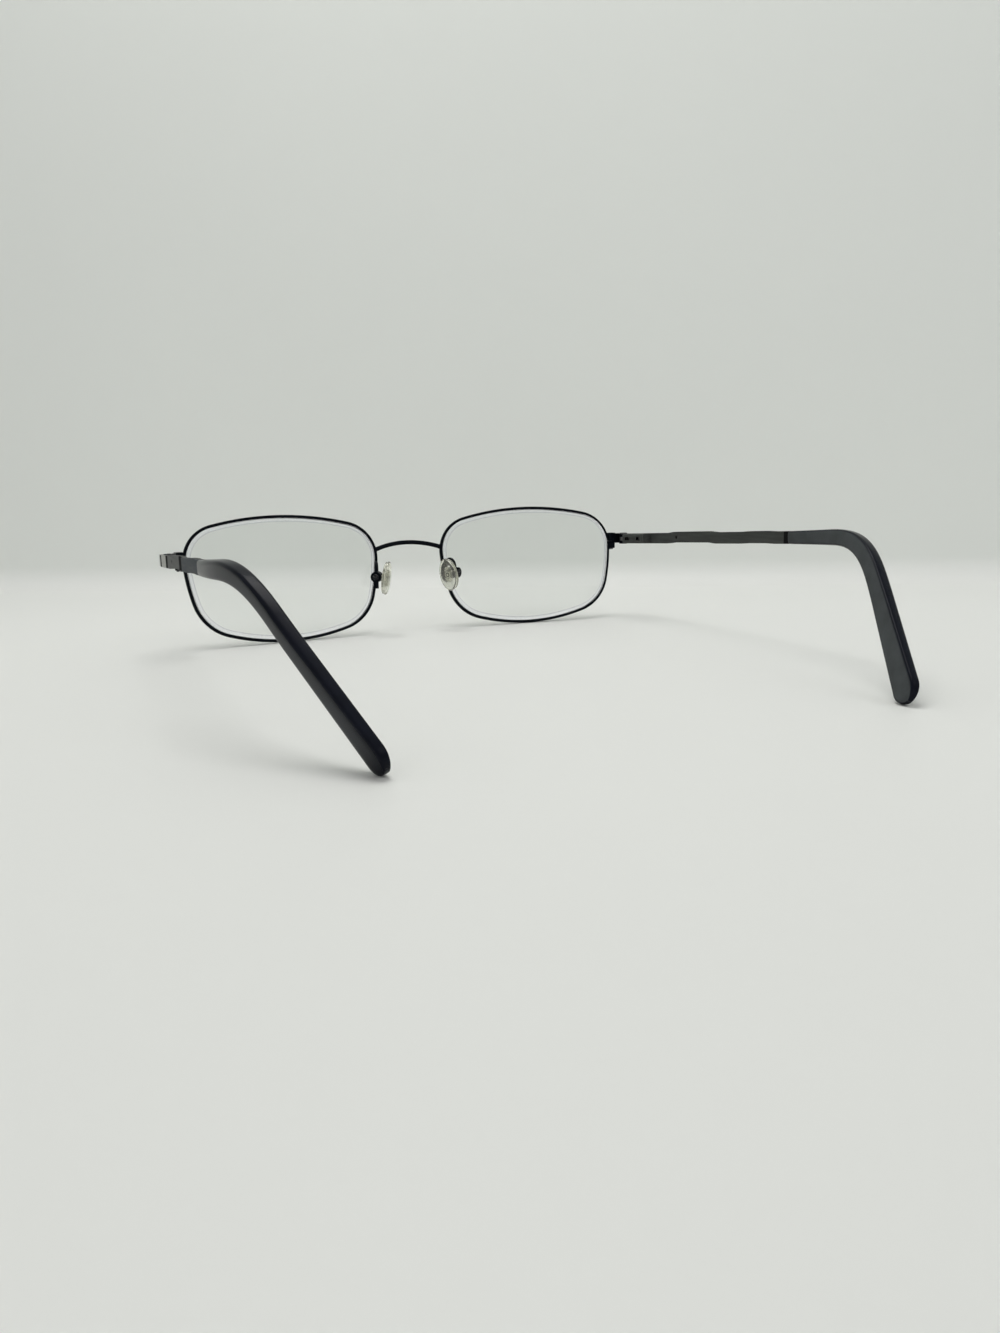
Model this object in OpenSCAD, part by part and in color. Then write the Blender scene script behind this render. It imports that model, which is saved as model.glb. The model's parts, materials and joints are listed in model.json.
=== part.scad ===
// Metal eyeglass frame with full rims, adjustable nose pads and spring hinges.
// +Z is up, +Y points to the front of the frame, and the wearer looks along +Y.
// The frame stands on the bottoms of both rims and the ends of both temple tips.
// Modules draw the right side, as the wearer sees it; the left side is its mirror image.

/* [Lenses] */
// Width of one lens
lens_w = 51; // [46:0.5:56]
// Height of one lens
lens_h = 32.6; // [29:0.1:38]
// Distance between the two lenses
bridge_gap = 19.3; // [16:0.1:23]
// Radius of the lens outline along the top
top_r = 74.7; // [60:0.1:100]
// Radius of the upper corners
corner_r = 9.5; // [8:0.1:11]
// Radius of the sides
side_r = 49.2; // [40:0.1:70]
// Radius of the lower corners
lower_r = 11.9; // [10.5:0.05:13]
// Radius of the outline along the bottom
bottom_r = 55.6; // [48:0.1:80]
// How far the lower corners stand in from the upper ones
lower_inset = 1.25; // [0.6:0.05:2]
// Thickness of a lens where it is thinnest
lens_t = 1.5; // [1.2:0.1:2]
// How much thicker a lens is at its outer side, all of it behind
lens_more = 0.4; // [0:0.1:2.4]
// Distance of the thinnest place from the middle of the lens, towards the nose
lens_thin_at = 11; // [4:0.5:14]
// Radius of the sphere that the lenses follow
dish_r = 200; // [140:5:300]
// Height of the bevel around a lens
bevel_h = 0.35; // [0.25:0.05:0.4]
// Lean of the lenses, top forwards
lens_lean = 9.8; // [4:0.2:12]
// Turn of each lens back towards the temple
lens_wrap = 4.65; // [2:0.05:7]

/* [Rims] */
// Thickness of the rim wire, seen from the front
rim_t = 0.8; // [0.75:0.05:1.2]
// Depth of the rim wire, front to back
rim_d = 1.4; // [1.3:0.05:2]
// Play between a lens and its groove
lens_play = 0.05; // [0.02:0.01:0.1]
// Gap where the rim is split
split_gap = 0.12; // [0.08:0.02:0.3]
// Height of the split above the centre of the upper corner
split_up = 0.6; // [0:0.1:1.5]
// Diameter of the bridge wire
bridge_d = 1.25; // [1:0.05:1.6]
// Height of the bridge ends above the middle of the lens
bridge_up = 6.5; // [5:0.1:8]
// Rise of the bridge in the middle
bridge_rise = 1.6; // [0.8:0.1:3]
// How far the bridge bows forwards
bridge_bow = 1.5; // [0.5:0.1:3]

/* [End pieces] */
// Reach of the end piece, from the middle of the closing block to its outer face
end_reach = 4.66; // [4:0.02:7]
// Thickness of the end piece ribbon
ribbon_t = 1; // [0.8:0.05:1.2]
// Outer radius of the end piece's bend
ribbon_r = 1.7; // [1.3:0.1:2.2]
// Height of the hinge's middle above the split
hinge_up = 0.75; // [0.5:0.05:1]
// Height of end piece, hinge and housing
hinge_h = 2.8; // [2.6:0.1:3.4]
// Width of the closing blocks
block_w = 2.1; // [1.9:0.1:2.3]
// Depth of the closing blocks
block_d = 2.7; // [2.4:0.1:3]
// Height of the upper closing block
block_up_h = 2.4; // [2.2:0.1:2.8]
// Height of the lower closing block
block_low_h = 2.1; // [1.6:0.1:2.4]
// Radius of the closing screw
close_screw_r = 0.45; // [0.35:0.05:0.55]

/* [Hinges] */
// Distance of the hinge axis from the outer face
hinge_inset = 2.65; // [2.5:0.05:2.9]
// Distance of the hinge axis behind the closing block
hinge_back = 4.3; // [4.1:0.1:5]
// Radius of the hinge knuckles
knuckle_r = 1.15; // [1.05:0.05:1.25]
// Radius of the hinge screw
pin_r = 0.55; // [0.4:0.05:0.6]
// Clearance of pins and rods in their holes
run_fit = 0.05; // [0.02:0.01:0.1]
// Height of the middle knuckle
middle_h = 0.95; // [0.8:0.05:1.1]
// Gap between neighbouring knuckles
knuckle_gap = 0.06; // [0.04:0.02:0.1]
// Lean of the hinge axes: the right one back, the left one forwards, so that folded temples cross
hinge_lean = 1.8; // [1.6:0.1:2.2]
// Angle that a temple can be sprung outwards
flex_angle = 10; // [6:1:12]
// Length of the hinge housing
housing_l = 12; // [11.5:0.1:14]
// Width of the hinge housing, from the bar inwards
housing_w = 2.6; // [2.4:0.05:2.7]
// Radius of the spring chamber
chamber_r = 0.85; // [0.8:0.01:0.95]
// Radius of the guide rod
guide_r = 0.5; // [0.4:0.05:0.6]
// Radius of the thin rod inside the spring
rod_r = 0.28; // [0.2:0.02:0.3]
// Radius of the retaining nut
nut_r = 0.72; // [0.6:0.02:0.74]
// Travel of the spring
spring_travel = 1.2; // [0.8:0.1:1.5]
// Mean radius of the spring
coil_r = 0.53; // [0.5:0.01:0.56]
// Radius of the spring wire
wire_r = 0.12; // [0.08:0.01:0.13]
// Number of turns of the spring
turns = 8; // [6:1:10]

/* [Temples] */
// Length of the metal bar behind the hinge axis
bar_l = 75.3; // [66:0.1:82]
// Thickness of the metal bar
bar_t = 1.3; // [1.1:0.05:1.5]
// Height of the metal bar
bar_h = 2.85; // [2.6:0.05:3.2]
// Upward slope of the bar towards the back
temple_rise = 2.6; // [1:0.1:4]
// Inward slope of the bar towards the back
temple_in = 1.1; // [0:0.1:2]
// Step of the waves along the bar
wave = 0.27; // [0.1:0.01:0.4]
// Where the bar's first wave rises, behind the hinge axis
wave_from = 22; // [18:0.5:24]
// Length of the first wave, from its rise to its fall
wave_run = 20; // [14:0.5:22]
// Distance from the first wave's fall to the second one's rise
wave_apart = 14; // [10:0.5:15]
// Length of the second, lower wave
low_wave_run = 10; // [8:0.5:10.5]
// Length over which a wave rises or falls
wave_l = 4.5; // [3:0.5:6]
// Depth of the grooves across the bar's outer face
groove_depth = 0.25; // [0.1:0.05:0.4]
// Width of the grooves
groove_w = 0.5; // [0.3:0.1:0.8]
// Place of the front groove behind the hinge axis
front_groove = 15.2; // [14.5:0.1:17]
// Place of the rear groove behind the hinge axis
rear_groove = 43.5; // [40:0.5:50]
// Place of the small hole behind the hinge axis
hole_at = 27.2; // [24:0.1:34]
// Radius of the small hole
hole_r = 0.45; // [0.3:0.05:0.6]
// Length of a plastic temple tip along its curve
tip_l = 66.5; // [60:0.1:72]
// Start of the downward bend, from the front of the tip
bend_start = 13.8; // [8:0.1:18]
// End of the downward bend, from the front of the tip
bend_end = 37.7; // [34:0.1:46]
// End of the inward bend
in_end = 44.5; // [36:0.1:50]
// Slope of the tip's straight end below level
tip_drop = 40.6; // [34:0.1:46]
// Inward slope of the tip's straight end
tip_in = 27.2; // [15:0.1:32]
// Twist of the tip's faces at its end
tip_twist = 21; // [0:1:28]
// Height of the tip's section at its front
tip_h_front = 2.9; // [2.7:0.05:3.3]
// Height of the tip's section at the end of the bend
tip_h_bend = 4.05; // [3.6:0.05:5]
// Height of the tip's section at its end
tip_h_end = 5.85; // [4.5:0.05:7]
// Thickness of the tip at its front
tip_t_front = 2.4; // [2.2:0.05:2.8]
// Thickness of the tip at the end of the bend
tip_t_bend = 2.5; // [2.2:0.05:3]
// Thickness of the tip at its end
tip_t_end = 2; // [1.8:0.05:2.6]
// Length of the metal core inside the tip
core_l = 50; // [30:1:56]
// Thickness of the core
core_t = 0.9; // [0.7:0.05:1]
// Height of the core where it enters the tip
core_h = 1.7; // [1.4:0.1:2]

/* [Nose pads] */
// Height of a nose pad
pad_h = 9; // [8:0.1:11]
// Width of a nose pad
pad_w = 6.1; // [5:0.1:6.6]
// Thickness of a nose pad
pad_t = 1.8; // [1.6:0.1:2]
// Direction that a pad faces, turned in from straight back
pad_turn = 60; // [55:1:70]
// Lean of the pads, tops inwards
pad_lean = 8; // [0:1:12]
// Turn of the pads in their own plane, tops forwards
pad_tilt = 6; // [0:1:12]
// Distance of a pad from its screw
pad_reach = 2.65; // [2.6:0.05:3.4]
// Distance of the pad screw outwards from the lens edge
box_out = 1.55; // [1.2:0.05:2.4]
// Distance of the pad screw behind the lens middle
box_behind = 5.25; // [4.8:0.05:7]
// Distance of the pad screw below the lens middle
box_below = 0.45; // [0:0.05:1.5]
// Distance of the pad arm's foot below the lens middle
foot_below = 3.5; // [3:0.1:5]
// Radius of the pad box
box_r = 1.45; // [1.3:0.05:1.6]
// Half the width of the pad box
box_half = 1.2; // [1.1:0.05:1.4]
// Radius of the pad arm's wire
arm_r = 0.5; // [0.4:0.05:0.6]
// Radius of the pad screw
pad_screw_r = 0.4; // [0.3:0.05:0.45]
// Thickness of the insert's tab
tab_t = 0.84; // [0.7:0.02:0.9]

/* [Hidden] */
$fn = 48;
$lean = hinge_lean;
// A cut runs this far past the face that it opens
over = 0.1;
// The origin lies this far behind the middle of the lenses
origin_back = 66.9;
// Soldered pieces run this far into each other
solder = 0.3;
// The wire of a pad arm is seated this far into the back of the rim
arm_seat = 0.4;
// The straight leg of a pad arm is this much thicker than its loop
leg_step = 0.02;
// The ribbon's front stands this far behind the front of the closing block
ribbon_set = 0.45;

navy = [0.07, 0.08, 0.11];
gunmetal = [0.27, 0.28, 0.28];
tip_grey = [0.2, 0.21, 0.24];
steel = [0.5, 0.5, 0.5];
clear_pad = [0.86, 0.87, 0.82, 0.7];
clear_lens = [0.85, 0.9, 0.88, 0.35];

// Lens outline: nine arcs, each tangent to the next, symmetric about its upright middle.
top_c = [0, lens_h/2 - top_r];
corner_x = lens_w/2 - corner_r;
corner_c = [corner_x, top_c.y + sqrt(pow(top_r - corner_r, 2) - corner_x*corner_x)];
bottom_c = [0, bottom_r - lens_h/2];
lower_x = lens_w/2 - lower_inset - lower_r;
lower_c = [lower_x, bottom_c.y - sqrt(pow(bottom_r - lower_r, 2) - lower_x*lower_x)];
// The side arc's centre lies where two circles round the corner centres meet.
apart = norm(lower_c - corner_c);
along = (lower_c - corner_c)/apart;
reach_c = side_r - corner_r;
reach_l = side_r - lower_r;
foot = (reach_c*reach_c - reach_l*reach_l + apart*apart)/(2*apart);
side_c = corner_c + foot*along + sqrt(reach_c*reach_c - foot*foot)*[along.y, -along.x];
top_a = atan2(corner_c.y - top_c.y, corner_c.x);
side_hi = atan2(corner_c.y - side_c.y, corner_c.x - side_c.x);
side_lo = atan2(lower_c.y - side_c.y, lower_c.x - side_c.x);
bottom_a = atan2(lower_c.y - bottom_c.y, lower_c.x);
split_a = asin(split_up/corner_r);
half_gap_a = asin(split_gap/2/corner_r);

function flip(c) = [-c.x, c.y];
// Stations [across, up, direction of the outward normal] along an arc, without its last end.
function arc(c, r, a0, a1, n) =
    [for (i = [0:n-1]) let (a = a0 + (a1 - a0)*i/n) [c.x + r*cos(a), c.y + r*sin(a), a]];
// The whole outline, from one angle on the outer upper corner round to another.
function outline(a0, a1) = concat(
    arc(corner_c, corner_r, a0, top_a, 8),
    arc(top_c, top_r, top_a, 180 - top_a, 9),
    arc(flip(corner_c), corner_r, 180 - top_a, 180 - side_hi, 9),
    arc(flip(side_c), side_r, 180 - side_hi, 180 - side_lo, 3),
    arc(flip(lower_c), lower_r, 180 - side_lo, 180 - bottom_a, 7),
    arc(bottom_c, bottom_r, 180 - bottom_a, 360 + bottom_a, 9),
    arc(lower_c, lower_r, 360 + bottom_a, 360 + side_lo, 7),
    arc(side_c, side_r, 360 + side_lo, 360 + side_hi, 3),
    arc(corner_c, corner_r, 360 + side_hi, a1, 2));

// A point beside the outline: out along its normal, and forward of the dished lens surface.
function beside(st, out, ahead) =
    let (u = st[0] + out*cos(st[2]), v = st[1] + out*sin(st[2])) dished(u, ahead, v);
function dished(u, ahead, v) = [u, ahead - (u*u + v*v)/(2*dish_r), v];
// From the lens's own axes to the frame's, turned back by the wrap and leaned forwards.
function turned(p) =
    let (x = p.x*cos(lens_wrap) + p.y*sin(lens_wrap), y = p.y*cos(lens_wrap) - p.x*sin(lens_wrap))
    [x, y*cos(lens_lean) + p.z*sin(lens_lean), p.z*cos(lens_lean) - y*sin(lens_lean)];

rim_out = rim_t - bevel_h + lens_play;
rim_in = lens_play - bevel_h;
// The rim's section, out and forward, with the groove's bottom first.
rim_section = [
    [lens_play, 0], [rim_in, -lens_t/4], [rim_in, 0.15 - rim_d/2],
    [rim_in + 0.2, -rim_d/2], [rim_out - 0.35, -rim_d/2], [rim_out, -rim_d/4],
    [rim_out, rim_d/4], [rim_out - 0.35, rim_d/2], [rim_in + 0.2, rim_d/2],
    [rim_in, rim_d/2 - 0.15], [rim_in, lens_t/4]];
rim_rings = [for (st = concat(outline(split_a + half_gap_a, 360 + split_a - half_gap_a),
        arc(corner_c, corner_r, 360 + split_a - half_gap_a, 360 + split_a, 1)))
    [for (p = rim_section) turned(beside(st, p[0], p[1]))]];
lens_edge = [for (st = outline(split_a, 360 + split_a)) turned(beside(st, 0, 0))];

// The lens middle lies where the lens edges are the bridge gap apart and the rims stand on z = 0.
lens_c = [bridge_gap/2 - min([for (p = lens_edge) p.x]), origin_back,
    -min([for (ring = rim_rings) for (p = ring) p.z])];

// Where the rim is split, and the hinge axis behind it.
split_p = lens_c + turned(dished(corner_c.x + corner_r*cos(split_a), 0, corner_c.y + split_up));
block_x = split_p.x + rim_out + block_w/2 - solder;
outer_x = block_x + end_reach;
hinge_p = [outer_x - hinge_inset, split_p.y - hinge_back, split_p.z + hinge_up];
ribbon_y = split_p.y + block_d/2 - ribbon_set;

// Hinge and temple: distances run back along the bar from the hinge axis.
bar_x = hinge_inset - bar_t/2;
bar_front = 0.1;
housing_front = knuckle_r + 0.45;
guide_l = 1.6;
guide_h = middle_h - 0.15;
nut_l = 0.8;
chamber_front = housing_front + guide_l;
spring_room = 6.9;
nut_at = chamber_front + spring_room;
plug_l = 0.7;

function mean(ring) = [for (k = [0:2]) [for (p = ring) p[k]]*[for (p = ring) 1]/len(ring)];

// Closed surface through rings of points. Each ring turns right-handed about the way along them.
module skin(rings, ends = undef) {
    n = len(rings[0]);
    m = len(rings);
    tips = is_undef(ends) ? [mean(rings[0]), mean(rings[m-1])] : ends;
    points = concat([for (ring = rings) for (p = ring) p], tips);
    sides = [for (i = [0:m-2]) for (j = [0:n-1]) let (k = (j + 1)%n)
        each [[i*n + j, (i + 1)*n + j, (i + 1)*n + k], [i*n + j, (i + 1)*n + k, i*n + k]]];
    front = [for (j = [0:n-1]) [m*n, j, (j + 1)%n]];
    back = [for (j = [0:n-1]) [m*n + 1, (m - 1)*n + (j + 1)%n, (m - 1)*n + j]];
    polyhedron(points, concat(sides, front, back));
}

// Closed surface with an inner hollow that is open at the front.
module sheath(outer, inner) {
    n = len(outer[0]);
    m = len(outer);
    q = len(inner);
    base = m*n;
    points = concat([for (ring = outer) for (p = ring) p], [for (ring = inner) for (p = ring) p],
        [mean(outer[m-1]), mean(inner[q-1])]);
    faces_out = [for (i = [0:m-2]) for (j = [0:n-1]) let (k = (j + 1)%n)
        each [[i*n + j, (i + 1)*n + j, (i + 1)*n + k], [i*n + j, (i + 1)*n + k, i*n + k]]];
    faces_in = [for (i = [0:q-2]) for (j = [0:n-1]) let (k = (j + 1)%n, b = base + i*n, c = b + n)
        each [[b + j, c + k, c + j], [b + j, b + k, c + k]]];
    mouth = [for (j = [0:n-1]) let (k = (j + 1)%n)
        each [[j, k, base + k], [j, base + k, base + j]]];
    end = [for (j = [0:n-1]) [base + q*n, (m - 1)*n + (j + 1)%n, (m - 1)*n + j]];
    floor_in = [for (j = [0:n-1]) let (b = base + (q - 1)*n) [base + q*n + 1, b + j, b + (j + 1)%n]];
    polyhedron(points, concat(faces_out, faces_in, mouth, end, floor_in));
}

module at_hinge() {
    translate(hinge_p) children();
}

// The leaning axis of the hinge.
module at_axis() {
    at_hinge() rotate([$lean, 0, 0]) children();
}

// Local axes of a temple: -Y runs back along the bar, +X points outwards.
module along_temple() {
    at_hinge() rotate([0, 0, -temple_in]) rotate([-temple_rise, 0, 0]) children();
}

// A bar along -Y with a round section.
module rod_back(from, to, r) {
    translate([0, -from, 0]) rotate([90, 0, 0]) cylinder(h = to - from, r = r);
}

// Flat rectangle with round corners.
module rounded(w, d, r) {
    square([w - 2*r, d], center = true);
    square([w, d - 2*r], center = true);
    for (x = [-1, 1], y = [-1, 1])
        translate([x*(w/2 - r), y*(d/2 - r)]) circle(r = r);
}

module rim() {
    color(navy) translate(lens_c) skin(rim_rings);
}

// The lens: a bevelled edge that sits in the groove, a dished front and a back that swells outwards.
module lens() {
    edge = outline(split_a, 360 + split_a);
    shoulder = bevel_h + lens_play;
    rows = [[0.35, 0], [0.7, 0], [1, 0]];
    face = [for (side = [1, -1]) [for (row = rows) [for (st = edge)
        let (u = row[0]*(st[0] - shoulder*cos(st[2])), v = row[0]*(st[1] - shoulder*sin(st[2])))
        turned(dished(u, side*lens_t/2 - (side < 0 ? behind(u, v) : 0), v))]]];
    bevel = [[-shoulder, lens_t/4 - 0.03], [0, 0.01], [0, -0.01], [-shoulder, 0.03 - lens_t/4]];
    apex = [for (row = bevel) [for (st = edge) turned(beside(st, row[0], row[1]))]];
    color(clear_lens) translate(lens_c)
        skin(concat(face[0], apex, [face[1][2], face[1][1], face[1][0]]),
            [turned(dished(0, lens_t/2, 0)), turned(dished(0, -lens_t/2 - behind(0, 0), 0))]);
}
// The back grows away from the thinnest place with the square of the distance.
function behind(u, v) =
    lens_more*((u + lens_thin_at)*(u + lens_thin_at) + v*v)/pow(lens_w/2 + lens_thin_at, 2);

// Bridge wire: an arc whose plane leans forwards, soldered to both rims.
module bridge() {
    end_v = bridge_up;
    inner_u = -(corner_c.x + sqrt(corner_r*corner_r - pow(end_v - corner_c.y, 2)));
    end_p = lens_c + turned(dished(inner_u - rim_out/2, 0, end_v));
    sag = norm([bridge_rise, bridge_bow]);
    r = (end_p.x*end_p.x + sag*sag)/(2*sag);
    half_a = asin(end_p.x/r);
    color(navy) translate([0, end_p.y + bridge_bow, end_p.z + bridge_rise])
        rotate([-atan2(bridge_bow, bridge_rise), 0, 0]) translate([0, 0, -r])
        rotate([90, 0, 0]) rotate([0, 0, 90 - half_a])
        rotate_extrude(angle = 2*half_a, $fn = 180) translate([r, 0]) circle(d = bridge_d, $fn = 24);
}

// One half of the closing block, with its screw hole.
module closing_block(z0, z1, d) {
    color(navy) translate([block_x, split_p.y, z0]) difference() {
        linear_extrude(z1 - z0) rounded(block_w, d, 0.4);
        translate([0, 0, -over]) cylinder(h = z1 - z0 + 2*over, r = close_screw_r + run_fit/2);
    }
}

module closing_block_upper() {
    closing_block(split_p.z + split_gap/2, split_p.z + block_up_h, block_d);
}

module closing_block_lower() {
    closing_block(split_p.z - block_low_h, split_p.z - split_gap/2, block_d - 0.6);
}

// A slotted screw that points up from its head.
module screw(r, l, head_r, head_h) {
    difference() {
        union() {
            cylinder(h = l, r = r);
            translate([0, 0, -head_h]) cylinder(h = head_h, r = head_r);
        }
        translate([0, 0, -head_h]) cube([0.25, 3*head_r, head_h], center = true);
    }
}

module closing_screw() {
    color(steel) translate([block_x, split_p.y, split_p.z - block_low_h])
        screw(close_screw_r, block_low_h + block_up_h - 0.3, 0.75, 0.35);
}

// A leaf of the end piece's hinge, from its knuckle to the ribbon.
module leaf(z0, h) {
    face_x = hinge_inset - ribbon_t;
    translate([0, 0, z0]) linear_extrude(h) difference() {
        union() {
            circle(r = knuckle_r);
            polygon([[-knuckle_r, 0], [-0.9, 1.1], [0.3, hinge_back - 1.4],
                [face_x + over, hinge_back - 0.6], [face_x + over, 0.55], [0.9, 0.5]]);
        }
        circle(r = pin_r + run_fit);
    }
}

// The end piece: a thin ribbon from the closing block round the corner to the hinge.
module end_piece() {
    front_y = ribbon_y - hinge_p.y;
    bend_c = [hinge_inset - ribbon_r, front_y - ribbon_r];
    start_x = block_x + block_w/2 - solder - hinge_p.x;
    butt = 0.1 + hinge_inset*sin(flex_angle) - bar_front*cos(flex_angle);
    inner_butt = butt - ribbon_t*sin(flex_angle);
    color(navy) union() {
        at_hinge() translate([0, 0, -hinge_h/2]) linear_extrude(hinge_h) {
            translate([start_x, front_y - ribbon_t]) square([bend_c.x - start_x, ribbon_t]);
            intersection() {
                translate(bend_c) difference() {
                    circle(r = ribbon_r);
                    circle(r = ribbon_r - ribbon_t);
                }
                translate(bend_c) square(ribbon_r + 1);
            }
            polygon([[hinge_inset - ribbon_t, bend_c.y], [hinge_inset - ribbon_t, inner_butt],
                [hinge_inset, butt], [hinge_inset, bend_c.y]]);
        }
        at_axis() leaf(middle_h/2 + knuckle_gap, hinge_h/2 - middle_h/2 - knuckle_gap);
        at_axis() leaf(-hinge_h/2, hinge_h/2 - middle_h/2 - knuckle_gap);
    }
}

module hinge_screw() {
    color(steel) at_axis() translate([0, 0, hinge_h/2]) mirror([0, 0, 1])
        screw(pin_r, hinge_h, knuckle_r - 0.1, 0.35);
}

// The sliding tongue: the middle knuckle, a guide rod and a thin rod through the spring.
module hinge_tongue() {
    color(steel) difference() {
        union() {
            at_axis() translate([0, 0, -middle_h/2]) cylinder(h = middle_h, r = knuckle_r);
            along_temple() {
                intersection() {
                    rod_back(0, chamber_front - 0.2, guide_r);
                    translate([-2, -8, -guide_h/2]) cube([4, 16, guide_h]);
                }
                rod_back(chamber_front - 0.3, nut_at + nut_l, rod_r);
            }
        }
        at_axis() translate([0, 0, -middle_h]) cylinder(h = 2*middle_h, r = pin_r + run_fit);
    }
}

module tongue_nut() {
    color(steel) along_temple() difference() {
        rod_back(nut_at, nut_at + nut_l, nut_r);
        rod_back(nut_at - over, nut_at + nut_l + over, rod_r + run_fit/2);
    }
}

// The spring, from the front wall of its chamber back to the nut.
module hinge_spring() {
    from = chamber_front + wire_r + 0.02;
    to = nut_at - wire_r - 0.02;
    steps = 9*turns;
    pitch = (to - from)/turns;
    slope = atan2(pitch, 2*PI*coil_r);
    color(steel) along_temple() skin([for (i = [0:steps])
        let (a = 360*turns*i/steps, mid = [coil_r*cos(a), -from - pitch*a/360, coil_r*sin(a)])
        [for (j = [0:5]) let (b = 60*j)
            mid + wire_r*(cos(b)*[cos(a), 0, sin(a)]
                + sin(b)*[-sin(a)*sin(slope), cos(slope), cos(a)*sin(slope)])]]);
}

// The housing of the spring hinge, soldered to the inside of the bar.
module hinge_housing() {
    back = housing_front + housing_l;
    wall_x = hinge_inset - bar_t;
    color(gunmetal) along_temple() difference() {
        translate([wall_x - housing_w/2, -housing_front, 0]) rotate([90, 0, 0])
            linear_extrude(housing_l) rounded(housing_w, hinge_h - 0.1, 0.45);
        rod_back(housing_front - over, chamber_front + over, guide_r + run_fit);
        rod_back(chamber_front, back + over, chamber_r);
        // Each slot's distance behind the housing's front, and its length
        for (slot = [[1.65, 2.4], [8.05, 2]])
            translate([wall_x - housing_w - over, -housing_front - slot[0] - slot[1], -0.4])
                cube([housing_w/2 - chamber_r/2, slot[1], 0.8]);
    }
}

module housing_plug() {
    back = housing_front + housing_l;
    color(gunmetal) along_temple() rod_back(back - plug_l, back, chamber_r - run_fit/2);
}

// Half height and middle of the bar along its length: gentle steps that shift it up and down.
function ease(t) = t <= 0 ? 0 : t >= 1 ? 1 : t*t*(3 - 2*t);
wave_to = wave_from + wave_run;
low_wave_from = wave_to + wave_apart;
low_wave_to = low_wave_from + low_wave_run;
function bar_mid(s) = wave*(ease((s - wave_from)/wave_l) - ease((s - wave_to)/wave_l)
    + ease((s - low_wave_from)/wave_l)/2 - ease((s - low_wave_to)/wave_l)/2);

// The bar: a flat strip with a waved outline, shallow grooves outside and a small hole.
module temple_bar() {
    color(gunmetal) {
        along_temple() difference() {
            translate([bar_x - bar_t/2, 0, 0]) rotate([90, 0, 90]) linear_extrude(bar_t)
                polygon(concat([for (s = waypoints) [-s, bar_mid(s) + bar_h/2]],
                    [for (i = [len(waypoints)-1:-1:0]) [-waypoints[i], bar_mid(waypoints[i]) - bar_h/2]]));
            for (s = [front_groove, rear_groove])
                translate([hinge_inset - groove_depth, -s - groove_w, -bar_h])
                    cube([bar_t, groove_w, 2*bar_h]);
            translate([0, -hole_at, bar_mid(hole_at)]) rotate([0, 90, 0])
                cylinder(h = hinge_inset + over, r = hole_r);
        }
        skin([for (s = core_s) section(s, core_size(s), 0)]);
    }
}
waypoints = concat([bar_front, wave_from/2], [for (at = [wave_from, wave_to, low_wave_from, low_wave_to])
    each [for (i = [0:9]) at + wave_l*i/9]], [bar_l]);

// The tip's curve, in the frame's axes, found by stepping along it.
tip_step = 1;
seam = hinge_p + [bar_x*cos(temple_in) - bar_l*cos(temple_rise)*sin(temple_in),
    -bar_x*sin(temple_in) - bar_l*cos(temple_rise)*cos(temple_in), bar_l*sin(temple_rise)];
function slope_at(s) = temple_rise - (tip_drop + temple_rise)*ease((s - bend_start)/(bend_end - bend_start));
function in_at(s) = temple_in + (tip_in - temple_in)*ease(s/in_end);
function way(s) = [-sin(in_at(s))*cos(slope_at(s)), -cos(in_at(s))*cos(slope_at(s)), sin(slope_at(s))];
tip_path = [for (i = 0, p = seam; i <= tip_l/tip_step + 1;
    p = p + tip_step*way((i + 0.5)*tip_step), i = i + 1) p];
function on_tip(s) = let (i = max(0, floor(s/tip_step))) tip_path[i] + (s - i*tip_step)*way(s);
function between(v, s) = s < bend_end ? v[0] + (v[1] - v[0])*s/bend_end
    : v[1] + (v[2] - v[1])*(s - bend_end)/(tip_l - bend_end);
tip_heights = [tip_h_front, tip_h_bend, tip_h_end];
tip_widths = [tip_t_front, tip_t_bend, tip_t_end];
// Ring of points round the tip's curve: a rectangle with soft corners, turned by the twist.
function section(s, size, squareness, n = 16) =
    let (out0 = [cos(in_at(s)), -sin(in_at(s)), 0], up0 = cross(way(s), out0), w = -tip_twist*ease(s/in_end),
        out = out0*cos(w) + up0*sin(w), up = up0*cos(w) - out0*sin(w), e = 1 - squareness)
    [for (j = [0:n-1]) let (a = 360*(j + 0.5)/n)
        on_tip(s) + out*size.x/2*soft(cos(a), e) + up*size.y/2*soft(sin(a), e)];
function soft(c, e) = sign(c)*pow(abs(c), e);
function tip_size(s) = [between(tip_widths, s), between(tip_heights, s)];
function core_size(s) = s < 0 ? [core_t, core_h] : [core_t, core_h - 0.3*s/core_l];
core_root = 0.9;
core_s = [for (i = [0:16]) core_l*i/16 - core_root*(1 - i/16)];
hollow_s = [for (i = [0:17]) (core_l + 1)*i/17];

// The temple tip: a plastic sheath with round ends over the core.
module temple_tip() {
    nose = [for (f = [0, 0.35, 0.8, 1]) [0.15 + 0.6*f, 0.86 + 0.14*sqrt(1 - (1 - f)*(1 - f))]];
    end_h = tip_h_end/2;
    body_s = [for (i = [1:24]) tip_l*0.02 + (tip_l*0.98 - end_h)*i/24];
    tail = [for (a = [25, 50, 70, 82]) [tip_l - end_h*(1 - sin(a)), cos(a)]];
    outer = concat(
        [for (q = nose) section(q[0], tip_size(q[0])*q[1], 0.55)],
        [for (s = body_s) section(s, tip_size(s), 0.55)],
        [for (q = tail) let (z = tip_size(q[0])) section(q[0], [z.x*(0.45 + 0.55*q[1]), z.y*q[1]], 0.55)]);
    inner = [for (s = hollow_s) let (z = core_size(s))
        section(s + 0.15*(1 - s/core_l), z + [2, 2]*run_fit, 0)];
    color(tip_grey) sheath(outer, inner);
}

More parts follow.
